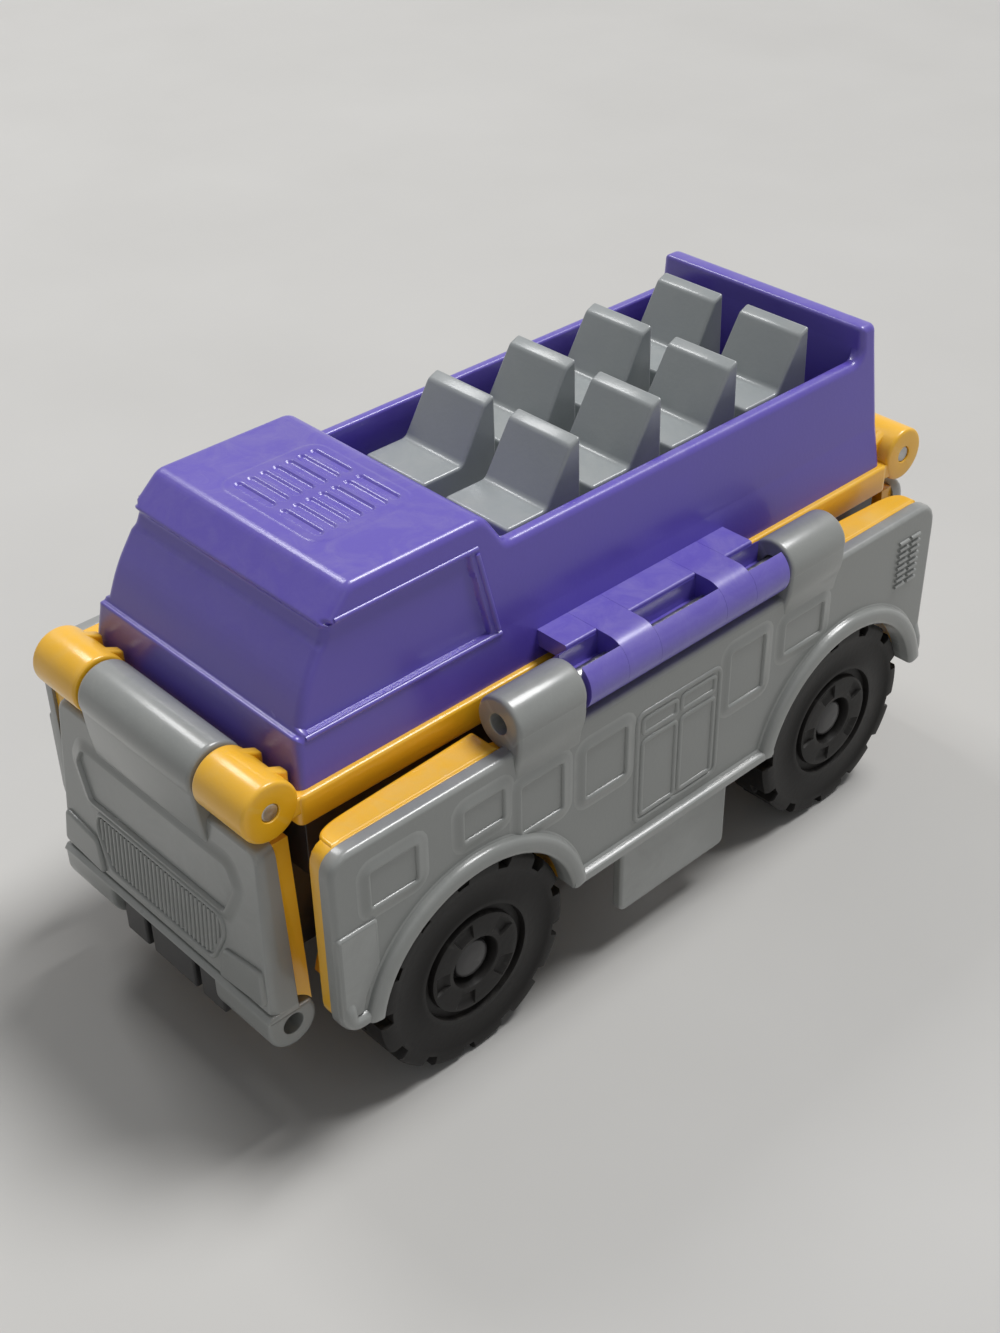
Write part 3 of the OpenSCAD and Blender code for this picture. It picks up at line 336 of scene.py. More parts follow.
def moulding(outline, low, high, axis, r_low=0.25, r_high=0.25, steps=5, warp=None):
    """Rings of an outline (points and corner cuts), moved inwards by r(1 - sin a) at the depth
    low + r(1 - cos a), so that both rims become quarter rounds. A ring just inside each flat face keeps its
    shading flat."""
    points, cuts = outline if isinstance(outline, tuple) else (outline, 0.0)
    a = np.linspace(0, np.pi / 2, steps)
    inwards, deeper = 1 - np.sin(a), 1 - np.cos(a)
    inset = np.r_[r_low + FLAT_STEP, r_low * inwards, r_high * inwards[::-1], r_high + FLAT_STEP]
    depth = np.r_[low, low + r_low * deeper, high - r_high * deeper[::-1], high]
    ring = np.stack([inset_ring(points, cuts, d) for d in inset])
    rows, count = ring.shape[:2]
    p = np.concatenate([ring, np.broadcast_to(depth[:, None, None], (rows, count, 1))], 2).reshape(-1, 3)
    p = p[:, ORDER[axis]]
    if warp is not None:
        p = warp(p)
    return facing_out(p, grid_faces(rows, count, wrap_columns=True).tolist() + end_caps(count, len(p)))


def sawn(outline, low, high):
    """A moulding along y whose rims stay almost sharp, for lengths that butt together."""
    return moulding(outline, low, high, "y", 0.02, 0.02, 2)


def turned(profile, centre, axis, count=64, shape=None):
    """A closed profile of (radius, along) spun round an axis: r cos t and r sin t lie across it. shape may
    move the points by their angle."""
    profile = np.asarray(profile, float)
    t = np.linspace(0, 2 * np.pi, count, endpoint=False)[:, None]
    r, along = np.broadcast_arrays(profile[None, :, 0], profile[None, :, 1])
    r, along = np.repeat(r, count, 0), np.repeat(along, count, 0)
    if shape is not None:
        r, along = shape(r, along, np.broadcast_to(t, r.shape))
    p = np.stack([r * np.cos(t), r * np.sin(t), along], -1).reshape(-1, 3)
    p = p[:, ORDER[axis]] + np.asarray(centre, float)
    return facing_out(p, grid_faces(count, len(profile), True, True).tolist())


def tube(inner, outer, low, high, edge):
    """Profile of a tube with rounded rims, as (radius, along) points."""
    return rounded(box_corners(inner, outer, low, high), [0.1, edge, edge, 0.1], 5)


RIDGE = (np.linspace(-1, 1, 7), 1 - np.linspace(-1, 1, 7) ** 4)
BRIM = (np.array([-0.14, -0.07, 0, 0.12, 0.35, 0.65, 1.0]),
        np.array([0.0, 0.75, 1.0, 0.97, 0.6, 0.2, 0.0]))


def bead(path, width, height, surface, closed=True, section=RIDGE, sink=0.1):
    """A raised line: across the path u runs over the width, and a section gives the height. It is an arch,
    h (1 - u^4), or a brim that is steep inside and fades out. surface puts (two plane coordinates, height) on
    the piece."""
    path = np.asarray(path, float)
    n = outward(path, closed)
    u, up = section
    across = np.r_[u, u[-1], u[0]] * width / 2
    up = np.r_[height * up, -sink, -sink]
    flat = path[:, None] + across[None, :, None] * n[:, None]
    p = surface(flat.reshape(-1, 2), np.tile(up, len(path)))
    faces = grid_faces(len(path), len(up), closed, True).tolist()
    if not closed:
        faces += end_caps(len(up), len(p))
    return facing_out(p, faces)


def joined(*parts):
    """Several (points, faces) as one."""
    points, faces, start = [], [], 0
    for p, f in parts:
        points.append(p)
        faces += [[i + start for i in face] for face in f]
        start += len(p)
    return np.concatenate(points), faces


def mirrored(part, axis):
    """The same part on the other side of the plane across an axis."""
    p = part[0].copy()
    p[:, axis] *= -1
    return p, [f[::-1] for f in part[1]]


# %% From arrays to a piece of the bus
MERGE, SLIVER, SOLID_MERGE = 0.004 * MM, 0.002 * MM, 0.001 * MM


def hand_over(piece, body, slot, *nodes):
    """The piece rides on a body and stands for CAD nodes, which it hides; slot is not used."""
    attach(piece, body)
    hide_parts(*nodes)


def put(name, part, body, slot, *nodes, sheet=False):
    """Points in mm and faces become a smooth mesh that rides on a body and stands for CAD nodes. Only a
    piece sewn from open sheets has its normals worked out again."""
    mesh = bpy.data.meshes.new(name)
    mesh.from_pydata((part[0] * MM).tolist(), [], part[1])
    work = bmesh.new()
    work.from_mesh(mesh)
    bmesh.ops.remove_doubles(work, verts=work.verts, dist=MERGE)
    bmesh.ops.dissolve_degenerate(work, dist=SLIVER, edges=work.edges)
    if sheet:
        bmesh.ops.recalc_face_normals(work, faces=work.faces)
    work.to_mesh(mesh)
    work.free()
    mesh.shade_smooth()
    mesh.set_sharp_from_angle(angle=np.radians(40))
    mesh.materials.append(FINISH[slot])
    piece = bpy.data.objects.new(name, mesh)
    bpy.context.collection.objects.link(piece)
    hand_over(piece, body, slot, *nodes)
    print(f"{name}: {len(mesh.vertices)} points")


def put_both(kind, part, slot):
    """A part of the right side panel, and its mirror image on the left one."""
    for side, half in (("right", part), ("left", mirrored(part, 0))):
        put(f"{side}_{kind}", half, f"{side}_panel", slot, f"{side}_{kind}")


def softened(name, node, body, slot, width=0.12):
    """A merged copy of a CAD solid with its edges rounded, for pieces that lie mostly inside."""
    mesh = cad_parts[node].data.copy()
    mesh.name = name
    work = bmesh.new()
    work.from_mesh(mesh)
    bmesh.ops.remove_doubles(work, verts=work.verts, dist=SOLID_MERGE)
    bmesh.ops.dissolve_limit(work, angle_limit=np.radians(1), verts=work.verts, edges=work.edges)
    work.to_mesh(mesh)
    work.free()
    mesh.materials.clear()
    mesh.materials.append(FINISH[slot])
    mesh.shade_smooth()
    mesh.set_sharp_from_angle(angle=np.radians(35))
    piece = bpy.data.objects.new(name, mesh)
    bpy.context.collection.objects.link(piece)
    rim = piece.modifiers.new("rim", "BEVEL")
    rim.width, rim.segments, rim.limit_method = width * MM, 2, "ANGLE"
    rim.angle_limit = np.radians(40)
    hand_over(piece, body, slot, node)
    print(f"{name}: {len(mesh.vertices)} points before its rim")


# %% [markdown]
# ## The purple deck
# The deck is one moulding: a cab in front, an open tub behind it, and a flange with a hinge knuckle on each
# side. It could be a box cut by Booleans, but cuts leave ragged shading next to soft edges. So it is worked
# out as grids. Its side view is one line from the front foot over the roof and the rim to the tail. A
# surface that crosses the bus on that line gives roof and tail, and a quarter round carries it down into the
# side walls.

# %% Deck lines
DECK_Z, BELT_Z, ROOF_Z, RIM_Z, TAIL_Z, FLOOR_Z = 32.7, 37.0, 47.5, 44.4, 47.6, 34.2
SILL_HALF, BELT_HALF, CROWN_HALF = 14.1, 13.45, 12.5
WALL, EDGE = 1.3, 0.7
BROW_Z, PANE_DEEP, PANE_REAR, PANE_LEAN, PANE_SOFT = 44.9, 0.45, -16.9, 0.2, 0.2
TUB_FRONT, TUB_REAR, SWEEP_R, SWEEP_STEPS = -12.9, 33.0, 1.2, 9
FRONT_LINE = [[-36.1, DECK_Z], [-35.5, BELT_Z - 0.02], [-35.0, BELT_Z + 0.02], [-33.9, 40.2], [-32.1, 43.1],
              [-31.6, 43.45], [-31.2, 44.5], [-31.5, BROW_Z], [-28.8, ROOF_Z], [-14.9, ROOF_Z],
              [TUB_FRONT, RIM_Z]]
FRONT_SOFT = [0.1, 0.2, 0.12, 2.0, 0.15, 0.15, 0.25, 0.22, 0.7, 1.0, 0.7]
TAIL_LINE = [[TUB_REAR, TAIL_Z], [35.1, TAIL_Z], [36.1, DECK_Z]]
TAIL_SOFT = [0.5, 0.8, 0.1]
CAB_FINE_END, RIM_START, CAB_END = -13.6, -13.4, -13.2
CAB_GAP, TUB_GAP = 0.12, 0.5


def ease(value, start, end):
    """0 before start, 1 after end, and 3t^2 - 2t^3 in between."""
    t = np.clip((value - start) / (end - start), 0, 1)
    return t * t * (3 - 2 * t)


def pane_end(z):
    """Where the cab's side window ends: a line that leans forward towards the roof."""
    return PANE_REAR + (BROW_Z - z) * PANE_LEAN


def half_width(z, y):
    """Half the deck's width: flared below the belt, leaning in above it, and less in the cab's windows."""
    w = np.where(z < BELT_Z, SILL_HALF + (BELT_HALF - SILL_HALF) * (z - DECK_Z) / (BELT_Z - DECK_Z),
                 BELT_HALF + (CROWN_HALF - BELT_HALF) * (z - BELT_Z) / (TAIL_Z - BELT_Z))
    pane = ease(z, BELT_Z, BELT_Z + PANE_SOFT / 2) * ease(-z, -BROW_Z, PANE_SOFT - BROW_Z)
    return w - PANE_DEEP * pane * ease(-y, -pane_end(z), PANE_SOFT - pane_end(z))


def resampled(line, gap):
    """The same line with points no further apart than gap."""
    place = np.r_[0, np.cumsum(np.linalg.norm(np.diff(line, axis=0), axis=1))]
    extra = [np.linspace(a, b, max(int(np.ceil((b - a) / gap)), 1), endpoint=False)
             for a, b in zip(place[:-1], place[1:])]
    s = np.r_[np.concatenate(extra), place[-1]]
    return np.stack([np.interp(s, place, line[:, k]) for k in (0, 1)], 1)


def upper_normals(line, blur=5):
    """Normals on the upper side of a line that runs to the rear, averaged over a few neighbours."""
    t = np.gradient(line, axis=0)
    n = np.stack([-t[:, 1], t[:, 0]], 1)
    n /= np.maximum(np.linalg.norm(n, axis=1), 1e-9)[:, None]
    wide = np.pad(n, ((blur, blur), (0, 0)), "edge")
    n = np.stack([np.convolve(wide[:, k], np.ones(2 * blur + 1), "valid") for k in (0, 1)], 1)
    return n / np.linalg.norm(n, axis=1)[:, None]


sweep = arc((TUB_REAR - SWEEP_R, RIM_Z + SWEEP_R), SWEEP_R, -90, 0, SWEEP_STEPS)
side_line = rounded(np.concatenate([FRONT_LINE, sweep, TAIL_LINE]),
                    FRONT_SOFT + [0.05] * SWEEP_STEPS + TAIL_SOFT, closed=False)
fine_end = np.argmax(side_line[:, 0] > CAB_FINE_END)
side_line = np.concatenate([resampled(side_line[:fine_end], CAB_GAP),
                            resampled(side_line[fine_end:], TUB_GAP)])
side_normal = upper_normals(side_line)
side_foot = side_line - EDGE * side_normal
side_foot[:, 1] = np.maximum(side_foot[:, 1], DECK_Z)
side_half = half_width(side_foot[:, 1], side_foot[:, 0])
print("side line:", len(side_line), "points")

# %% Deck side walls
LEVELS = np.r_[np.linspace(47.2, 45.2, 5), np.linspace(BROW_Z + 0.02, BROW_Z - 0.22, 6),
               np.linspace(44.2, 37.4, 15), np.linspace(BELT_Z + 0.12, BELT_Z - 0.02, 6),
               np.linspace(36.5, DECK_Z, 8)]


def side_wall():
    """Quarter round: x = w - r + r sin a, (y, z) = foot + r n cos a. Below it the wall drops through fixed
    levels, which lie close together where the window's edges are."""
    a = np.linspace(0, np.pi / 2, 7)[None, :]
    x = side_half[:, None] - EDGE + EDGE * np.sin(a)
    y, z = (side_foot[:, k, None] + (side_line - side_foot)[:, k, None] * np.cos(a) for k in (0, 1))
    zd = np.minimum(LEVELS[None, :], side_foot[:, 1, None])
    yd = np.broadcast_to(np.maximum.accumulate(side_foot[:, 0])[:, None], zd.shape)
    p = np.stack([np.c_[x, half_width(zd, yd)], np.c_[y, yd], np.c_[z, zd]], -1)
    return p.reshape(-1, 3), grid_faces(p.shape[0], p.shape[1]).tolist()


wall = side_wall()
print("side wall:", len(wall[0]), "points")

# %% Cab roof with its vent
VENT_MID, VENT_HALF, VENT_LIFT, VENT_SOFT, VENT_EDGE = -21.85, (6.6, 5.2), 0.06, 1.6, 0.09
SLOT_X, SLOT_REACH, SLOT_R, SLOT_PITCH, SLOT_ROWS = 3.0, 2.15, 0.36, 1.3, 7
SLOT_DEEP, SLOT_EDGE = 0.2, 0.12
CAB_COLUMNS, TAIL_COLUMNS = 181, 41


def vent_height(x, y):
    """A low pad with round corners, and two rows of round-ended slots sunk into it. Both come from
    distances: to a rounded box, and to the middle line of the nearest slot."""
    u, v = np.abs(x), y - VENT_MID
    qx, qy = u - VENT_HALF[0] + VENT_SOFT, np.abs(v) - VENT_HALF[1] + VENT_SOFT
    box = np.hypot(np.maximum(qx, 0), np.maximum(qy, 0)) + np.minimum(np.maximum(qx, qy), 0) - VENT_SOFT
    row = np.clip(np.round(v / SLOT_PITCH), -(SLOT_ROWS // 2), SLOT_ROWS // 2) * SLOT_PITCH
    slot = np.hypot(np.maximum(np.abs(u - SLOT_X) - SLOT_REACH, 0), v - row) - SLOT_R
    return VENT_LIFT * ease(-box, -VENT_EDGE, VENT_EDGE) - SLOT_DEEP * ease(-slot, -SLOT_EDGE, SLOT_EDGE)


def cross_surface(line, half, columns, lift=None):
    """A line carried across the bus between the two quarter rounds: x runs from -half to half, and lift
    raises the flat of the roof."""
    x = np.linspace(-1, 1, columns)[None, :] * half[:, None]
    y, z = (np.broadcast_to(line[:, k, None], x.shape) for k in (0, 1))
    if lift is not None:
        z = z + lift(x, y) * (z > ROOF_Z - 0.01)
    return np.stack([x, y, z], -1).reshape(-1, 3), grid_faces(len(line), columns).tolist()


back_wall = np.array([[TUB_FRONT, RIM_Z - 0.4], [TUB_FRONT, FLOOR_Z]])
cab_rows = side_line[:, 0] < CAB_END
cab_half = np.r_[side_half[cab_rows], [side_half[cab_rows][-1]] * 2] - EDGE
cab = cross_surface(np.concatenate([side_line[cab_rows], back_wall]), cab_half, CAB_COLUMNS, vent_height)
tail_rows = side_line[:, 0] > TUB_REAR - 0.02
front_wall = np.array([[TUB_REAR, FLOOR_Z], [TUB_REAR, 40.0]])
tail_half = np.r_[[side_half[tail_rows][0]] * 2, side_half[tail_rows]] - EDGE
tail = cross_surface(np.concatenate([front_wall, side_line[tail_rows]]), tail_half, TAIL_COLUMNS)
print("cab:", len(cab[0]), "points, tail:", len(tail[0]))

# %% Tub rim, inner walls and floor
FLOOR_X, FLOOR_Y, RIM_SOFT = 13.2, 35.4, 0.3
rim_rows = (side_line[:, 0] > RIM_START) & (side_line[:, 0] < TUB_REAR - 0.02)


def rim_inside(line, half):
    """Across the rim from the outer round to an inner one, then down the tub's inner wall to its floor."""
    a = np.linspace(0, np.pi / 2, 5)[None, :]
    q = np.linspace(0, 1, 6)[None, 1:]
    top, half = line[:, 1, None], half[:, None]
    zd = (top - RIM_SOFT) * (1 - q) + FLOOR_Z * q
    x = np.c_[half - EDGE, half - WALL + RIM_SOFT - RIM_SOFT * np.sin(a), half_width(zd, TUB_REAR) - WALL]
    z = np.c_[top, top - RIM_SOFT + RIM_SOFT * np.cos(a), zd]
    p = np.stack([x, np.broadcast_to(line[:, 0, None], x.shape), z], -1)
    return p.reshape(-1, 3), grid_faces(*x.shape).tolist()


rim = rim_inside(side_line[rim_rows], side_half[rim_rows])
put("deck_shell", joined(wall, mirrored(wall, 0), cab, tail, rim, mirrored(rim, 0)), "core", "purple_plastic",
    "upper_deck", sheet=True)
floor_line = (box_corners(-FLOOR_X, FLOOR_X, -FLOOR_Y, FLOOR_Y), 0.6)
deck_floor = moulding(floor_line, DECK_Z, FLOOR_Z, "z", 0.1, 0.1)
put("deck_floor", deck_floor, "core", "purple_plastic", "upper_deck")

# %% [markdown]
# Fine raised lines frame each side window of the cab: one over it, one under it and one behind it. A bump in
# the material could fake them, but they catch the light on the toy and belong in the mesh. So they are beads
# that follow the wall.

# %% Cab window lines
POST_BACK, LINE_BACK, LINE_POINTS = 0.75, 0.95, 24


def on_deck_side(flat, up):
    """Plane of a deck side wall: x follows the wall."""
    return np.stack([half_width(flat[:, 1], flat[:, 0]) + up, flat[:, 0], flat[:, 1]], 1)


post_z = np.linspace(BELT_Z + 0.2, BROW_Z - 0.2, 12)
post = bead(np.stack([pane_end(post_z) + POST_BACK, post_z], 1), 0.5, 0.2, on_deck_side, closed=False)


def level_line(front, z):
    """A line at one height from the cab's front to just behind the post."""
    path = np.stack([np.linspace(front, pane_end(z) + LINE_BACK, LINE_POINTS), np.full(LINE_POINTS, z)], 1)
    return bead(path, 0.42, 0.16, on_deck_side, closed=False)


window_lines = joined(post, level_line(-34.6, BELT_Z - 0.28), level_line(-30.5, BROW_Z + 0.26))
window_lines = joined(window_lines, mirrored(window_lines, 0))
put("cab_window_lines", window_lines, "core", "purple_plastic", "upper_deck")

# %% [markdown]
# ## Flanges and knuckles
# A flange reaches out from each side of the deck and ends in a knuckle. Windows in its top open the knuckle
# down to the steel pin. The knuckle is a round bar where the tabs hold it and an open trough in between. A
# Boolean could cut the windows. Lengths of three outlines, set end to end, give the same shape with clean
# edges.

# %% Flanges
AXIS_X, AXIS_Z, FLANGE_T, SIDE_R = 18.5, 32.8, 1.6, 2.5
TABS = [[-6.9, -2.95], [5.35, 9.3]]
KNUCKLE, FLANGE_Y, DECK_SIDE, SLOT_HALF = [-11.4, 13.8], [-10.5, 12.9], 12.9, 1.3
flange_top, flange_low = AXIS_Z + SIDE_R, AXIS_Z + SIDE_R - FLANGE_T
rise = np.degrees(np.arcsin((flange_low - AXIS_Z) / SIDE_R))
open_at = np.degrees(np.arccos(SLOT_HALF / SIDE_R))
tab_line = np.concatenate([[[DECK_SIDE, flange_low], [DECK_SIDE, flange_top]],
                           arc((AXIS_X, AXIS_Z), SIDE_R, 90, rise - 180, 44)])
trough = np.concatenate([arc((AXIS_X, AXIS_Z), SIDE_R, open_at, -180 - open_at, 44),
                         [[AXIS_X - SLOT_HALF, AXIS_Z + 0.1], [AXIS_X + SLOT_HALF, AXIS_Z + 0.1]]])
tabs = [sawn(tab_line, lo, hi) for lo, hi in TABS]
gaps = [[KNUCKLE[0], TABS[0][0]], [TABS[0][1], TABS[1][0]], [TABS[1][1], KNUCKLE[1]]]
troughs = [sawn(trough, lo, hi) for lo, hi in gaps]
lands = [[FLANGE_Y[0], TABS[0][0]], gaps[1], [TABS[1][1], FLANGE_Y[1]]]
land_end = AXIS_X - SLOT_HALF - 0.05
land_line = (box_corners(DECK_SIDE, land_end, flange_low, flange_top), [0.05, 0.1, 0.25, 0.05])
strips = [sawn(land_line, lo, hi) for lo, hi in lands]
knuckle = joined(*tabs, *troughs, *strips)
put("deck_flanges", joined(knuckle, mirrored(knuckle, 0)), "core", "purple_plastic", "upper_deck")

# %% [markdown]
# ## Seats
# Eight small seats stand on one grey tray. Each has a flat cushion with a soft front edge and a back that
# leans away, narrower at its top. A seat could be a cube shaped by hand and copied. One side-view outline
# carried across the seat is simpler, because only the width changes with height, and a loop sets out all
# eight.

# %% Seats
SEAT_FIRST, SEAT_PITCH, SEAT_ROWS, SEAT_IN, SEAT_OUT = -9.5, 10.07, 4, 1.25, 9.25
CUSHION_Z, BACK_Z, PLINTH_Z = 42.5, 47.4, 37.9
CUSHION_LEN, BACK_FRONT, BACK_REAR, BACK_RISE, TAPER_SHARE = 4.6, 7.5, 8.7, 0.5, 0.06
TRAY_HALF, TRAY_END = 10.8, 29.4


def seat(y, side):
    """The seat's outline across x, with its width shrinking from cushion to top."""
    line = ([[y, PLINTH_Z - 1], [y, CUSHION_Z], [y + CUSHION_LEN, CUSHION_Z], [y + BACK_FRONT, BACK_Z],
             [y + BACK_REAR, BACK_Z + BACK_RISE], [y + BACK_REAR, PLINTH_Z - 1]],
            [0.1, 0.45, 0.5, 0.3, 0.3, 0.1])
    mid = (SEAT_IN + SEAT_OUT) / 2

    def taper(p):
        lift = np.clip((p[:, 2] - PLINTH_Z) / (BACK_Z - PLINTH_Z), 0, 1)
        return np.stack([side * (mid + (p[:, 0] - mid) * (1 - TAPER_SHARE * lift)), p[:, 1], p[:, 2]], 1)

    return moulding(line, SEAT_IN, SEAT_OUT, "x", 0.28, 0.28, warp=taper)


seats = [seat(SEAT_FIRST + SEAT_PITCH * i, side) for i in range(SEAT_ROWS) for side in (-1, 1)]
tray_line = (box_corners(-TRAY_HALF, TRAY_HALF, SEAT_FIRST, TRAY_END), 0.5)
tray = moulding(tray_line, FLOOR_Z, PLINTH_Z, "z", 0.05, 0.25)
put("seat_tray", joined(tray, *seats), "core", "seat_plastic", "seat_tray")

# %% [markdown]
# ## Orange core
# The core is the plate that everything hinges on. A pair of barrels at each end carries the end panels, with
# two ribs behind each barrel. A Mirror modifier could repeat them. The four corners are alike, so here one
# is made and its points are mirrored twice, across the bus and then end to end.

# %% Core plate, barrels and ribs
END_AXIS_Y, END_R, END_BORE = 39.2, 2.7, 0.82
BARREL, WEB_Y, WEB_LOW = [8.15, 14.6], (36.0, 37.3), 31.0
PLATE_X, PLATE_Y, PLATE_LOW = 14.7, 36.7, 29.8
RIB_XS, RIB_T = (8.95, 12.15), 1.0
plate = moulding((box_corners(-PLATE_X, PLATE_X, -PLATE_Y, PLATE_Y), 0.8), PLATE_LOW, DECK_Z, "z", 0.3, 0.3)
barrel = turned(tube(END_BORE, END_R, *BARREL, 0.35), (0, END_AXIS_Y, AXIS_Z), "x")
web_line = (box_corners(*WEB_Y, WEB_LOW, DECK_Z - 0.05), 0.1)
web = moulding(web_line, BARREL[0] + 0.05, BARREL[1] - 0.05, "x", 0.2, 0.2)
rib_line = ([[36.25, 31.5], [37.5, 31.5], [37.6, 33.6], [38.9, 35.35], [38.2, 35.3], [36.25, 34.4]], 0.2)
ribs = [moulding(rib_line, x, x + RIB_T, "x", 0.2, 0.2) for x in RIB_XS]
corner = joined(barrel, web, *ribs)
corners = joined(corner, mirrored(corner, 0))
put("core_frame", joined(plate, corners, mirrored(corners, 1)), "core", "orange_plastic", "core_frame")

# %% [markdown]
# ## Pins and hidden mouldings
# The pins are plain wire with cut, slightly rounded ends, so each is a profile spun round its axis. The
# lower body and the end liners lie mostly inside. They could be worked out like the rest, but merged copies
# of their solids with bevelled rims show as much. The screws keep their solids and only get the steel
# finish.

# %% Pins
PIN_R, SIDE_PIN, END_PIN_HALF, PIN_STEPS = 0.8, (-18.1, 20.5), 14.5, 32


def wire(radius, low, high):
    """Profile of a wire with softly broken ends, closed at its axis."""
    return rounded(box_corners(1e-4, radius, low, high), [0.01, 0.18, 0.18, 0.01], 5)


for side, sign in (("right", 1), ("left", -1)):
    pin = turned(wire(PIN_R, *SIDE_PIN), (sign * AXIS_X, 0, AXIS_Z), "y", PIN_STEPS)
    put(f"{side}_hinge_pin", pin, "core", "steel", f"{side}_hinge_pin")
for end, sign in (("front", -1), ("rear", 1)):
    pin = turned(wire(PIN_R, -END_PIN_HALF, END_PIN_HALF), (0, sign * END_AXIS_Y, AXIS_Z), "x", PIN_STEPS)
    put(f"{end}_hinge_pin", pin, "core", "steel", f"{end}_hinge_pin")

# %% Hidden mouldings
softened("lower_body", "lower_body", "core", "charcoal_plastic")
for end in ("front", "rear"):
    softened(f"{end}_liner", f"{end}_liner", f"{end}_panel", "orange_plastic", 0.2)
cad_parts["core_screws"].data.materials.clear()
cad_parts["core_screws"].data.materials.append(FINISH["steel"])

# %% [markdown]
# ## End panels
# Front and rear panels are leaning plates with a barrel at the top, a bumper ledge, round lugs at its ends
# and a dark insert between the lugs. The face could be made flat and then turned, but its foot bends away
# from the lean. So it is a moulding whose depth follows a line of heights. Both panels share one blank, and
# what lies on their faces is placed by shares of its width and height.

# %% End panel faces
SEAM_Y, BUMPER_Y, FOOT_Y, HEAD_Y = 38.9, 42.0, 41.66, 40.6
LUG, LUG_R, LUG_TOP, EYE_Y, EYE_Z, EYE_R = [7.45, 15.1], 2.4, 1.38, 39.6, 11.0, 1.0
BUMPER_Z, BUMPER_TOP, TOP_Z, LOW_HALF, TOP_HALF = 12.4, 12.5, 29.3, 15.1, 14.1
LEDGE_LOW, LEDGE_TOP, NECK_HALF, ROLL_HALF, ROLL_BORE = 12.34, 12.95, 7.75, 7.8, 0.85
FACE_LINE = np.array([[EYE_Z, BUMPER_Y], [BUMPER_TOP, BUMPER_Y], [12.85, FOOT_Y], [TOP_Z, HEAD_Y]])


def face_y(z):
    """How far the end face stands out at a height."""
    return np.interp(z, FACE_LINE[:, 0], FACE_LINE[:, 1])


def lean(p):
    """Depth 0 to 1 becomes y from the seam to the leaning face."""
    return np.stack([p[:, 0], SEAM_Y + p[:, 1] * (face_y(p[:, 2]) - SEAM_Y), p[:, 2]], 1)


def on_end_face(flat, up):
    """Plane of an end face, with heights measured from it."""
    return np.stack([flat[:, 0], face_y(flat[:, 1]) + up, flat[:, 1]], 1)


face_foot = LEDGE_TOP - 0.1
face_edge = ([[LOW_HALF, face_foot], [TOP_HALF, TOP_Z], [-TOP_HALF, TOP_Z], [-LOW_HALF, face_foot]],
             [0.1, 1.4, 1.4, 0.1])
ledge_line = ([[SEAM_Y, LEDGE_LOW], [BUMPER_Y, LEDGE_LOW], [BUMPER_Y, BUMPER_TOP], [FOOT_Y, LEDGE_TOP],
               [SEAM_Y, LEDGE_TOP]], [0.02, 0.06, 0.1, 0.1, 0.02])
neck_line = ([[END_AXIS_Y + 2.55, AXIS_Z - 0.6], [HEAD_Y, AXIS_Z - 0.6], [SEAM_Y + 0.1, 30.7],
              [SEAM_Y + 0.1, 26.4], [40.78, 26.4], [41.1, 27.0], [41.5, 29.6]],
             [0.1, 0.1, 0.1, 0.1, 0.05, 0.4, 2.0])
face = moulding(face_edge, 0.0, 1.0, "y", 0.05, 0.5, 8, warp=lean)
ledge = moulding(ledge_line, -LOW_HALF, LOW_HALF, "x", 0.04, 0.04, 3)
neck = moulding(neck_line, -NECK_HALF, NECK_HALF, "x", 0.3, 0.3)
roll = turned(tube(ROLL_BORE, END_R, -ROLL_HALF, ROLL_HALF, 0.45), (0, END_AXIS_Y, AXIS_Z), "x")


def lug_shape(r, along, angle):
    """Round below and behind, square above its middle where it runs into the ledge."""
    out, up = np.cos(angle), np.sin(angle)
    flat = LUG_TOP / np.maximum(up, 1e-3)
    square = np.minimum(LUG_R / np.maximum(out, 1e-3), flat)
    reach = np.where(up > 0, np.where(out > 0, square, np.minimum(LUG_R, flat)), LUG_R)
    return np.where(r > EYE_R + 0.5, r * reach / LUG_R, r), along


lug = turned(tube(EYE_R, LUG_R, *LUG, 0.45), (0, EYE_Y, EYE_Z), "x", 96, lug_shape)
blank = joined(face, ledge, neck, roll, lug, mirrored(lug, 0))
print("end panel blank:", len(blank[0]), "points")

# %% Front face: windscreen, grille and lamps
def end_points(shares):
    """Shares of half width and of height become points on the panel."""
    s = np.asarray(shares, float)
    half = LOW_HALF + (TOP_HALF - LOW_HALF) * s[:, 1]
    return np.stack([half * s[:, 0], BUMPER_Z + (TOP_Z - BUMPER_Z) * s[:, 1]], 1)


def raised_pad(shares, height, soft=0.6):
    """A low pad on the face, with a rounded rim."""
    return moulding((end_points(shares), soft), -0.3, height, "y", 0.05, 0.28,
                    warp=lambda p: np.stack([p[:, 0], face_y(p[:, 2]) + p[:, 1], p[:, 2]], 1))


SCREEN = [[0.72, 0.8], [0.78, 0.7], [0.66, 0.5], [-0.66, 0.5], [-0.78, 0.7], [-0.72, 0.8]]
GRILLE = [[0.6, 0.45], [0.63, 0.34], [0.5, 0.12], [-0.5, 0.12], [-0.63, 0.34], [-0.6, 0.45]]
HEAD_LAMP = [[0.62, 0.26], [0.96, 0.3], [0.975, 0.09], [0.56, 0.06]]
SLATS, SLAT_REACH, SLAT_GAP = 29, 8.4, 0.4
screen = bead(rounded(end_points(SCREEN), 0.5, 6), 2.4, 0.36, on_end_face, section=BRIM)
grille = bead(rounded(end_points(GRILLE), 0.8, 6), 0.5, 0.26, on_end_face)
slat_x = np.linspace(-SLAT_REACH, SLAT_REACH, SLATS)
low, high = end_points(GRILLE)[2][1] + SLAT_GAP, end_points(GRILLE)[0][1] - SLAT_GAP
slat_low = np.interp(np.abs(slat_x), [7.0, 8.8], [low, low + 3.2])
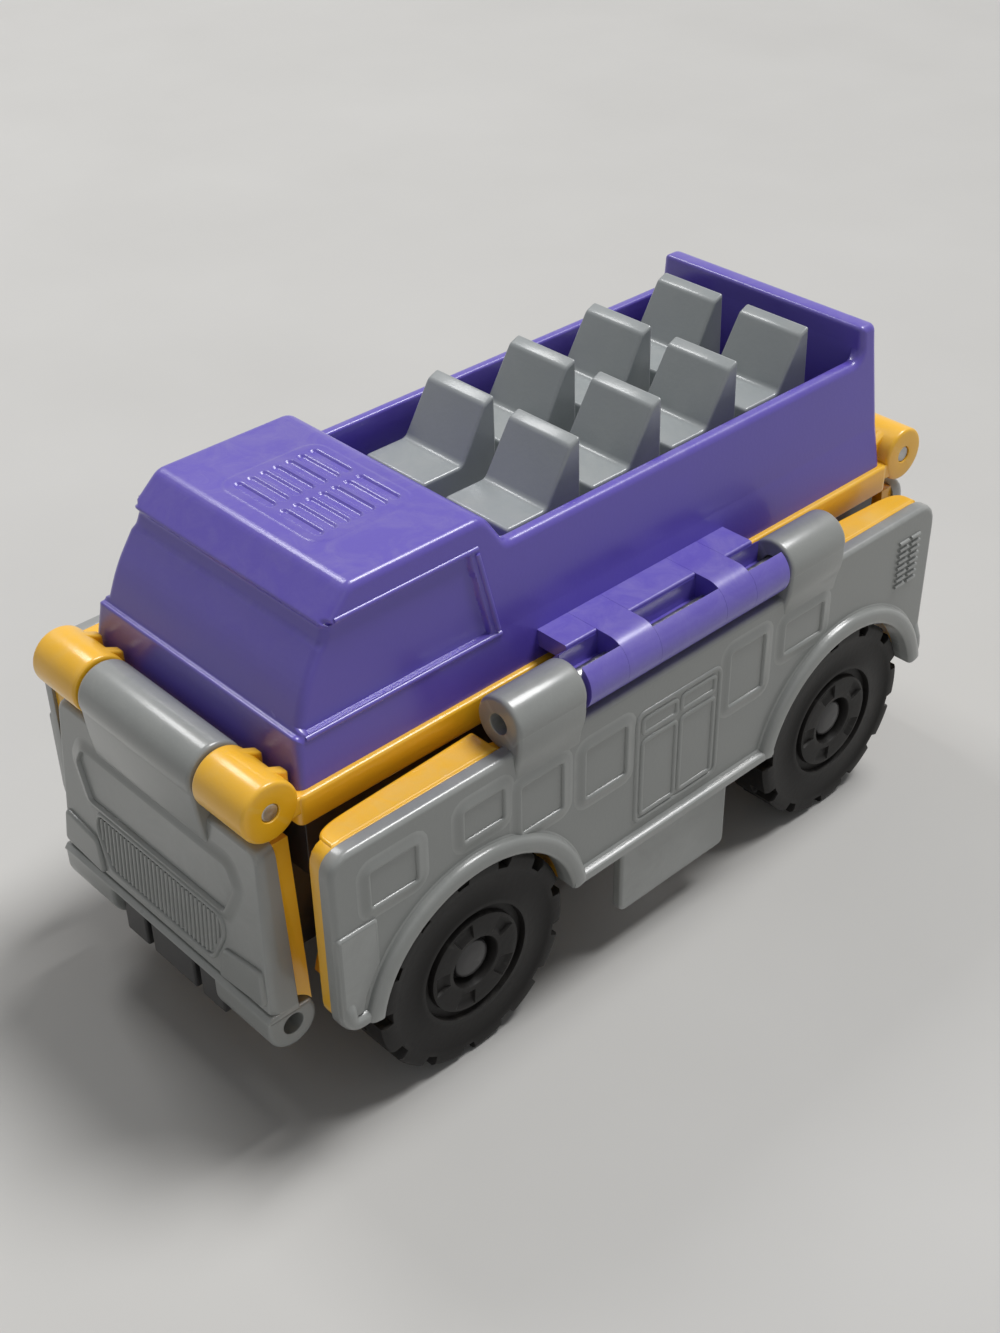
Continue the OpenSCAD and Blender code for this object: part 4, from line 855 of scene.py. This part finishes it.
slats = [bead([[x, b], [x, (b + high) / 2], [x, high]], 0.34, 0.2, on_end_face, closed=False)
         for x, b in zip(slat_x, slat_low)]
head_lamp = raised_pad(HEAD_LAMP, 0.38)
front_part = joined(blank, screen, grille, *slats, head_lamp, mirrored(head_lamp, 0))
put("front_shell", mirrored(front_part, 1), "front_panel", "grey_plastic", "front_shell")

# %% Rear face: window, plate and tail lamps
REAR_WINDOW = [[0.74, 0.88], [0.78, 0.56], [-0.78, 0.56], [-0.74, 0.88]]
NUMBER_PLATE = [[0.34, 0.4], [0.34, 0.18], [-0.34, 0.18], [-0.34, 0.4]]
TAIL_LAMP = [[0.76, 0.48], [0.94, 0.48], [0.94, 0.12], [0.76, 0.12]]
window = bead(rounded(end_points(REAR_WINDOW), 0.9, 5), 2.2, 0.3, on_end_face, section=BRIM)
plate_rim = bead(rounded(end_points(NUMBER_PLATE), 0.5, 5), 1.6, 0.25, on_end_face, section=BRIM)
tail_lamp = raised_pad(TAIL_LAMP, 0.34)
rear_part = joined(blank, window, plate_rim, tail_lamp, mirrored(tail_lamp, 0))
put("rear_shell", rear_part, "rear_panel", "grey_plastic", "rear_shell")

# %% Bumper inserts
INSERT_EDGES, INSERT_Z = [-7.35, -4.0, -3.2, 3.2, 4.0, 7.35], (7.4, 11.95)
BACK_PLATE_Y, PAD_Y = (SEAM_Y, 39.6), (39.3, 41.2)
back_line = (box_corners(INSERT_EDGES[0], INSERT_EDGES[-1], *INSERT_Z), 0.3)
back_plate = moulding(back_line, *BACK_PLATE_Y, "y", 0.05, 0.15)
pads = [moulding((box_corners(a, b, *INSERT_Z), 0.3), *PAD_Y, "y", 0.05, 0.25)
        for a, b in zip(INSERT_EDGES[0::2], INSERT_EDGES[1::2])]
insert = joined(back_plate, *pads)
put("front_bumper_insert", mirrored(insert, 1), "front_panel", "charcoal_plastic", "front_bumper_insert")
put("rear_bumper_insert", insert, "rear_panel", "charcoal_plastic", "rear_bumper_insert")

# %% [markdown]
# ## Side panels
# A side panel is a thin plate with two wheel arches, proud lips round them, a sill, a skirt and two barrels
# whose necks flow into the face. The plate could be cut with cylinders. Here the arches are part of its
# outline, so the rounded rim runs round them in one piece. Door, windows and louvres are raised lines. The
# left panel is the right one mirrored.

# %% Side plate
SEAM_X, FACE_X, LIP_X = 18.9, 20.3, 21.1
SILL_Z, SIDE_TOP, WHEEL_Z, ARCH_R = 12.6, 30.8, 10.4, 11.0
WHEEL_YS = (-23.8, 24.6)
tilt = np.degrees(np.arcsin((SILL_Z - WHEEL_Z) / ARCH_R))
SIDE_ENDS, HINGE_ENDS, BAR_Z, GAP_SLOPE = (-38.5, 37.3), (-11.75, 14.15), 29.95, 3
PLATE_GAP, LINER_GAP = (-13.5, 16), (-18.0, 20.4)
SIDE_CUTS = [1.8, 2.2, 1.2, 1.2, 1.2, 1.2, 2.6, 1.5]


def arch(y, radius):
    """The open edge of a wheel arch or well, from the sill over the wheel to the sill."""
    return arc((y, WHEEL_Z), radius, tilt, 180 - tilt, 40)


def side_outline(inset, gap):
    """Outline of a side panel: rounded corners, a cut under the hinge, and the two arches."""
    a, b = SIDE_ENDS[0] + inset, SIDE_ENDS[1] - inset
    corners = [[a, SILL_Z], [a, SIDE_TOP], [gap[0] - GAP_SLOPE, SIDE_TOP], [gap[0], BAR_Z], [gap[1], BAR_Z],
               [gap[1] + GAP_SLOPE, SIDE_TOP], [b, SIDE_TOP], [b, SILL_Z]]
    arches = np.concatenate([arch(y, ARCH_R) for y in WHEEL_YS[::-1]])
    return np.concatenate([corners, arches]), np.r_[SIDE_CUTS, np.zeros(len(arches))]


side_plate = moulding(side_outline(0, PLATE_GAP), SEAM_X, FACE_X, "x", 0.08, 0.5, 8)
print("side plate:", len(side_plate[0]), "points")

# %% Lips, sill and skirt
LIP_STEPS = 60
SKIRT_Y, SKIRT_Z, SKIRT_X = (-6.0, 8.4), (4.4, 13.6), 20.0
LIP = np.array([[0.0, SEAM_X], [0.0, 20.7], [0.08, 20.92], [0.3, 21.06], [0.6, LIP_X], [1.1, 21.09],
                [1.45, 21.02], [1.62, 20.85], [1.68, 20.6], [1.74, 20.4], [1.95, 20.31], [1.95, SEAM_X]])


def lip(y):
    """A section of (distance from the arch, x) swept round the arch, falling to the face in a hollow."""
    t = np.radians(np.linspace(tilt, 180 - tilt, LIP_STEPS))[:, None]
    r = ARCH_R + LIP[None, :, 0]
    x = np.broadcast_to(LIP[None, :, 1], (LIP_STEPS, len(LIP)))
    z = np.maximum(WHEEL_Z + r * np.sin(t), SILL_Z)
    p = np.stack([x, y + r * np.cos(t), z], -1).reshape(-1, 3)
    faces = grid_faces(LIP_STEPS, len(LIP), wrap_columns=True).tolist()
    return facing_out(p, faces + end_caps(len(LIP), len(p)))


sill_line = [[SEAM_X, SILL_Z], [20.8, SILL_Z], [21.0, SILL_Z + 0.12], [21.05, SILL_Z + 0.45],
             [21.0, SILL_Z + 0.85], [20.8, SILL_Z + 1.0], [20.45, SILL_Z + 1.06], [20.31, SILL_Z + 1.3],
             [SEAM_X, SILL_Z + 1.3]]
sill = sawn(sill_line, WHEEL_YS[0] + ARCH_R - 0.2, WHEEL_YS[1] - ARCH_R + 0.2)
skirt_line = (box_corners(*SKIRT_Y, *SKIRT_Z), [0.9, 0.9, 0.2, 0.2])
skirt = moulding(skirt_line, SEAM_X, SKIRT_X, "x", 0.2, 0.35)
lips = [lip(y) for y in WHEEL_YS]
print("lips:", len(lips), "of", len(lips[0][0]), "points")

# %% Side barrels and necks
OUTER, SIDE_BORE = [[-19.5, HINGE_ENDS[0]], [HINGE_ENDS[1], 21.9]], 0.95
side_neck = ([[20.98, AXIS_Z - 0.3], [19.8, AXIS_Z - 0.3], [SEAM_X, 30.9], [SEAM_X, 27.6], [20.28, 27.6],
              [20.4, 28.9], [20.95, 30.6]], [0.1, 0.1, 0.1, 0.1, 0.1, 2.2, 2.2])
necks = [moulding(side_neck, lo + 0.04, hi - 0.04, "y", 0.35, 0.35) for lo, hi in OUTER]
rolls = [turned(tube(SIDE_BORE, SIDE_R, lo, hi, 0.45), (AXIS_X, 0, AXIS_Z), "y") for lo, hi in OUTER]
print("side barrels:", len(rolls))

# %% Door, windows and louvres
DOOR_YS, DOOR_ZS = ((-4.2, 0.1), (0.75, 5.1)), ((15.5, 23.7), (24.5, 26.1))
DOOR_FRAME = (-4.9, 5.8, 14.9, 26.8)
PANES = ((-34.9, -30.0, 24.1, 27.9), (-25.2, -20.7, 24.9, 28.2), (-18.9, -14.0, 22.0, 27.1),
         (-11.4, -6.3, 21.4, 26.8), (7.0, 11.8, 21.5, 27.6), (14.6, 20.2, 23.6, 27.2))
LOUVRE_YS, LOUVRE_ZS, LOUVRE_LEN = (31.7, 33.5), np.linspace(23.2, 28.1, 8), 1.4
CORNER_PAD = [[-38.46, 14.0], [-36.3, 14.0], [-35.9, 15.6], [-34.4, 18.2], [-34.4, 23.0], [-38.46, 23.0]]
PAD_CUTS, PAD_LIFT = [0.6, 0.2, 0.2, 0.2, 0.35, 0.4], 0.28


def on_side_face(flat, up):
    """Plane of a side face, with heights measured from it."""
    return np.stack([FACE_X + up, flat[:, 0], flat[:, 1]], 1)


def line_box(y0, y1, z0, z1, soft=0.5, width=0.5, height=0.15, section=RIDGE):
    """A raised line round a rectangle."""
    path = rounded(box_corners(y0, y1, z0, z1), soft, 5)
    return bead(path, width, height, on_side_face, section=section)


door = [line_box(*y, *z, 0.45) for y in DOOR_YS for z in DOOR_ZS]
door.append(line_box(*DOOR_FRAME, 0.9))
panes = [line_box(*pane, 0.4, 2.4, 0.22, BRIM) for pane in PANES]
louvres = [bead([[y, z], [y + LOUVRE_LEN / 2, z], [y + LOUVRE_LEN, z]], 0.4, 0.24, on_side_face, closed=False)
           for y in LOUVRE_YS for z in LOUVRE_ZS]
corner_pad = moulding((CORNER_PAD, PAD_CUTS), SEAM_X, FACE_X + PAD_LIFT, "x", 0.05, PAD_LIFT)
print("raised boxes:", len(door) + len(panes), "louvres:", len(louvres))

# %% Hems, and the side shells
HEM_Z, HEM_BEND, HEM_TOP, HEM_SINK = 13.3, 15.2, 17.0, 0.75
HEM_YS = ((-34.9, -37.75), (35.8, 36.6))


def on_hem(flat, up):
    """The side face again, but a line on it sinks away as it climbs."""
    return on_side_face(flat, up - HEM_SINK * ease(flat[:, 1], 14.6, HEM_TOP))


def hem(inner, outer):
    """A soft edge along the foot of the panel that turns up round its lower corner."""
    corners = [[inner, HEM_Z], [outer, HEM_Z], [outer, HEM_BEND], [outer, HEM_TOP]]
    path = rounded(corners, [0.1, 1.3, 0.1, 0.1], 8, closed=False)
    return bead(path, 1.4, 0.6, on_hem, closed=False, sink=0.5)


hems = [hem(*y) for y in HEM_YS]
raised = joined(*door, *panes, *louvres, corner_pad, *hems)
put_both("side_shell", joined(side_plate, *lips, sill, skirt, *necks, *rolls, raised), "grey_plastic")

# %% [markdown]
# Behind each shell lies an orange liner. Its rim closes the gap to the core, and its wheel wells carry the
# wheel pins on short straps. It could have an outline of its own. It takes the shell's, a little smaller, so
# that the two always fit together.

# %% Side liners
INNER_X, RIM_X, RIM_LOW, WELL_R = 17.3, 15.7, 29.7, 12.0
RIM_YS = ((-37.0, -19.85), (35.8, 22.25))
STRAP_X, STRAP_T, STRAP_R, STRAP_TOP = 12.85, 1.5, 3.2, 11.4
BOSS_BORE, BOSS_R = 1.06, 2.45
lining = moulding(side_outline(0.3, LINER_GAP), INNER_X, SEAM_X, "x", 0.25, 0.05)


def rim_plan(y_end, y_in):
    """Plan of a rim: it narrows towards the end of the bus, and its free inner corner is well rounded."""
    way = np.sign(y_in - y_end)
    return ([[SEAM_X - 0.1, y_end], [RIM_X + 1.3, y_end], [RIM_X + 0.6, y_end + way * 1.6], [RIM_X, y_in],
             [SEAM_X - 0.1, y_in]], [0.1, 1.0, 1.6, 0.4, 0.1])


rims = [moulding(rim_plan(*y), RIM_LOW, SIDE_TOP + 0.02, "z", 0.1, 0.3) for y in RIM_YS]


def well(y):
    """Wall of a wheel well, the strap across it, and the boss that holds the wheel pin."""
    wall_line = np.concatenate([arch(y, WELL_R), arch(y, ARCH_R)[::-1]])
    top = WHEEL_Z + STRAP_TOP
    strap_line = np.concatenate([arc((y, WHEEL_Z), STRAP_R, 180, 360, 24),
                                 [[y + STRAP_R, top], [y - STRAP_R, top]]])
    boss = turned(tube(BOSS_BORE, BOSS_R, STRAP_X - 0.75, STRAP_X + 0.3, 0.2), (0, y, WHEEL_Z), "x", 48)
    return joined(moulding(wall_line, STRAP_X, SEAM_X, "x", 0.15, 0.05),
                  moulding(strap_line, STRAP_X, STRAP_X + STRAP_T, "x", 0.15, 0.15), boss)


put_both("side_liner", joined(lining, *rims, *[well(y) for y in WHEEL_YS]), "orange_plastic")

# %% [markdown]
# ## Wheels
# The wheels are hard dark plastic: blocks round the tread that alternate from side to side, a groove between
# tyre and rim, slots in the rim and a pin head in a recessed hub. The blocks could be copies round a ring.
# One spun profile, whose points are pushed in by their angle, stays a single closed mesh.

# %% Wheels
WHEEL_R, WHEEL_IN, WHEEL_OUT, TREAD_STEPS = 10.4, 14.7, 19.9, 24
BLOCKS, BLOCK_STEPS, BLOCK_SHARE, GAP_DEEP, SHOULDER_R = 13, 24, 0.36, 1.1, 9.25
RIM_SLOTS, RIM_SLOT_R, RIM_SLOT_DEEP = 5, (3.2, 4.3), 0.3
inner_face = [[1.1, WHEEL_IN], [4.0, WHEEL_IN], [7.0, WHEEL_IN], [9.2, WHEEL_IN], [10.1, WHEEL_IN + 0.08]]
tread_x = np.linspace(WHEEL_IN + 0.35, WHEEL_OUT - 0.35, TREAD_STEPS)
tread_side = np.stack([np.full(TREAD_STEPS, WHEEL_R), tread_x], 1)
outer_face = [[9.9, WHEEL_OUT], [8.9, WHEEL_OUT], [8.7, WHEEL_OUT - 0.12], [6.3, WHEEL_OUT - 0.12],
              [6.1, WHEEL_OUT], [5.75, WHEEL_OUT], [5.65, WHEEL_OUT - 0.6], [4.95, WHEEL_OUT - 0.6],
              [4.85, WHEEL_OUT - 0.05], [4.6, WHEEL_OUT], [4.2, WHEEL_OUT], [3.8, WHEEL_OUT],
              [3.4, WHEEL_OUT], [3.0, WHEEL_OUT], [2.6, WHEEL_OUT - 0.05], [2.5, WHEEL_OUT - 0.2],
              [2.45, WHEEL_OUT - 1.5], [1.1, WHEEL_OUT - 1.5]]
wheel_profile = np.concatenate([inner_face, tread_side, [[10.15, WHEEL_OUT - 0.08]], outer_face])


def tyre_shape(r, along, angle):
    """Radius drops by the gap's depth where the angle lies in a gap. Gaps on the two faces sit half a block
    apart. Points of the rim sink where the angle lies in a slot."""
    turn = angle * BLOCKS / (2 * np.pi)
    share = (along - WHEEL_IN) / (WHEEL_OUT - WHEEL_IN)
    near_gap = (np.abs((turn % 1) - 0.5) > BLOCK_SHARE) & (share < 0.42)
    far_gap = (np.abs(((turn + 0.5) % 1) - 0.5) > BLOCK_SHARE) & (share > 0.58)
    deep = np.clip((r - SHOULDER_R) / (WHEEL_R - SHOULDER_R), 0, 1)
    r = r - GAP_DEEP * deep * (near_gap | far_gap)
    slot = np.abs((angle * RIM_SLOTS / (2 * np.pi)) % 1 - 0.5) < 0.19
    slot = slot & (r > RIM_SLOT_R[0]) & (r < RIM_SLOT_R[1]) & (along > WHEEL_OUT - RIM_SLOT_DEEP)
    return r, along - RIM_SLOT_DEEP * slot


def on_side(part, sign):
    """The part as it is on the right of the bus, and mirrored on the left."""
    return part if sign > 0 else mirrored(part, 0)


pin_profile = rounded([[1e-4, 12.1], [1.05, 12.1], [1.05, 18.75], [1.9, 18.75], [1.9, 19.3], [1.2, 19.55],
                       [1e-4, 19.6]], [0.01, 0.15, 0.05, 0.1, 0.3, 0.4, 0.01], 5)
for end, y in zip(("front", "rear"), WHEEL_YS):
    wheel = turned(wheel_profile, (0, y, WHEEL_Z), "x", BLOCKS * BLOCK_STEPS, tyre_shape)
    pin = turned(pin_profile, (0, y, WHEEL_Z), "x", PIN_STEPS)
    for side, sign in (("right", 1), ("left", -1)):
        name = f"{end}_{side}_wheel"
        put(name, on_side(wheel, sign), f"{end}_{side}_roller", "wheel_plastic", name)
        put(f"{name}_pin", on_side(pin, sign), f"{side}_panel", "charcoal_plastic", f"{name}_pin")

# %% [markdown]
# ## Floor and light
# A pale, softly mottled floor lies under the bus. The key light comes from behind and above, as wide as a
# ceiling lamp, so tops are bright, the lines on the right side show and the front lies in soft shade. It
# could be an area lamp close by, but that leaves a bright pool on the floor. A sun lamp gives the same level
# everywhere. A small lamp on the left draws the bright streaks along the barrels. A weak lamp in front and a
# grey world fill the shade.

# %% Floor
FLOOR_REACH = 3


def floor_board():
    """Pale matt board with soft mottling."""
    m, t, shader = new_material("floor_board")
    shader.inputs["Specular IOR Level"].default_value = 0.2
    shader.inputs["Roughness"].default_value = 0.8
    place = add(t, "ShaderNodeTexCoord")
    cloud = add(t, "ShaderNodeTexNoise", Scale=25.0, Detail=4.0)
    tone = add(t, "ShaderNodeValToRGB")
    tone.color_ramp.elements[0].color = (0.56, 0.55, 0.53, 1)
    tone.color_ramp.elements[1].color = (0.63, 0.62, 0.6, 1)
    link_all(t, (place.outputs["Object"], cloud.inputs["Vector"]),
             (cloud.outputs["Fac"], tone.inputs["Fac"]), (tone.outputs["Color"], shader.inputs["Base Color"]))
    return m


ground = bpy.data.meshes.new("floor")
ground_line = box_corners(-FLOOR_REACH, FLOOR_REACH, -FLOOR_REACH, FLOOR_REACH)
ground.from_pydata([(x, y, 0) for x, y in ground_line], [], [(0, 1, 2, 3)])
ground.materials.append(floor_board())
floor = bpy.data.objects.new("floor", ground)
bpy.context.collection.objects.link(floor)
print("floor:", 2 * FLOOR_REACH, "m wide")


# %% Lamps
def lamp_at(name, kind, place, power, **settings):
    """A lamp at a place, turned to look at the bus."""
    data = bpy.data.lights.new(name, kind)
    data.energy = power
    for key, value in settings.items():
        setattr(data, key, value)
    lamp = bpy.data.objects.new(name, data)
    back = np.array(place, float) - np.array([0, 0, 0.02])
    back /= np.linalg.norm(back)
    right = np.cross([0, 1, 0], back)
    right /= np.linalg.norm(right)
    m = np.eye(4)
    m[:3, 0], m[:3, 1], m[:3, 2], m[:3, 3] = right, np.cross(back, right), back, place
    lamp.matrix_world = Matrix(m.tolist())
    bpy.context.collection.objects.link(lamp)
    print(name, "power", power)


lamp_at("key_lamp", "SUN", (0.06, 0.3, 0.62), 2.35, angle=0.4)
lamp_at("gloss_strip", "AREA", (-0.36, 0.02, 0.48), 0.7, size=0.14)
lamp_at("front_fill", "AREA", (0.6, -0.35, 0.4), 0.15, size=0.4)

# %% World
world = bpy.data.worlds.new("soft_room")
world.use_nodes = True
room = world.node_tree
dim = room.nodes["Background"]
dim.inputs["Color"].default_value = (0.8, 0.82, 0.85, 1)
dim.inputs["Strength"].default_value = 0.2
pale = add(room, "ShaderNodeBackground", Color=(0.86, 0.86, 0.85, 1), Strength=0.75)
path = add(room, "ShaderNodeLightPath")
seen = add(room, "ShaderNodeMath", operation="MAXIMUM")
either = add(room, "ShaderNodeMath", operation="MAXIMUM")
choose = add(room, "ShaderNodeMixShader")
link_all(room, (path.outputs["Is Camera Ray"], seen.inputs[0]),
         (path.outputs["Is Glossy Ray"], seen.inputs[1]),
         (seen.outputs[0], either.inputs[0]), (path.outputs["Is Transmission Ray"], either.inputs[1]),
         (either.outputs[0], choose.inputs[0]), (dim.outputs[0], choose.inputs[1]),
         (pale.outputs[0], choose.inputs[2]),
         (choose.outputs[0], room.nodes["World Output"].inputs["Surface"]))
bpy.context.scene.world = world
bpy.context.scene.view_settings.view_transform = "Standard"
print("world: dim as light, pale where it is seen or mirrored")

# %% Final update
bpy.context.view_layer.update()
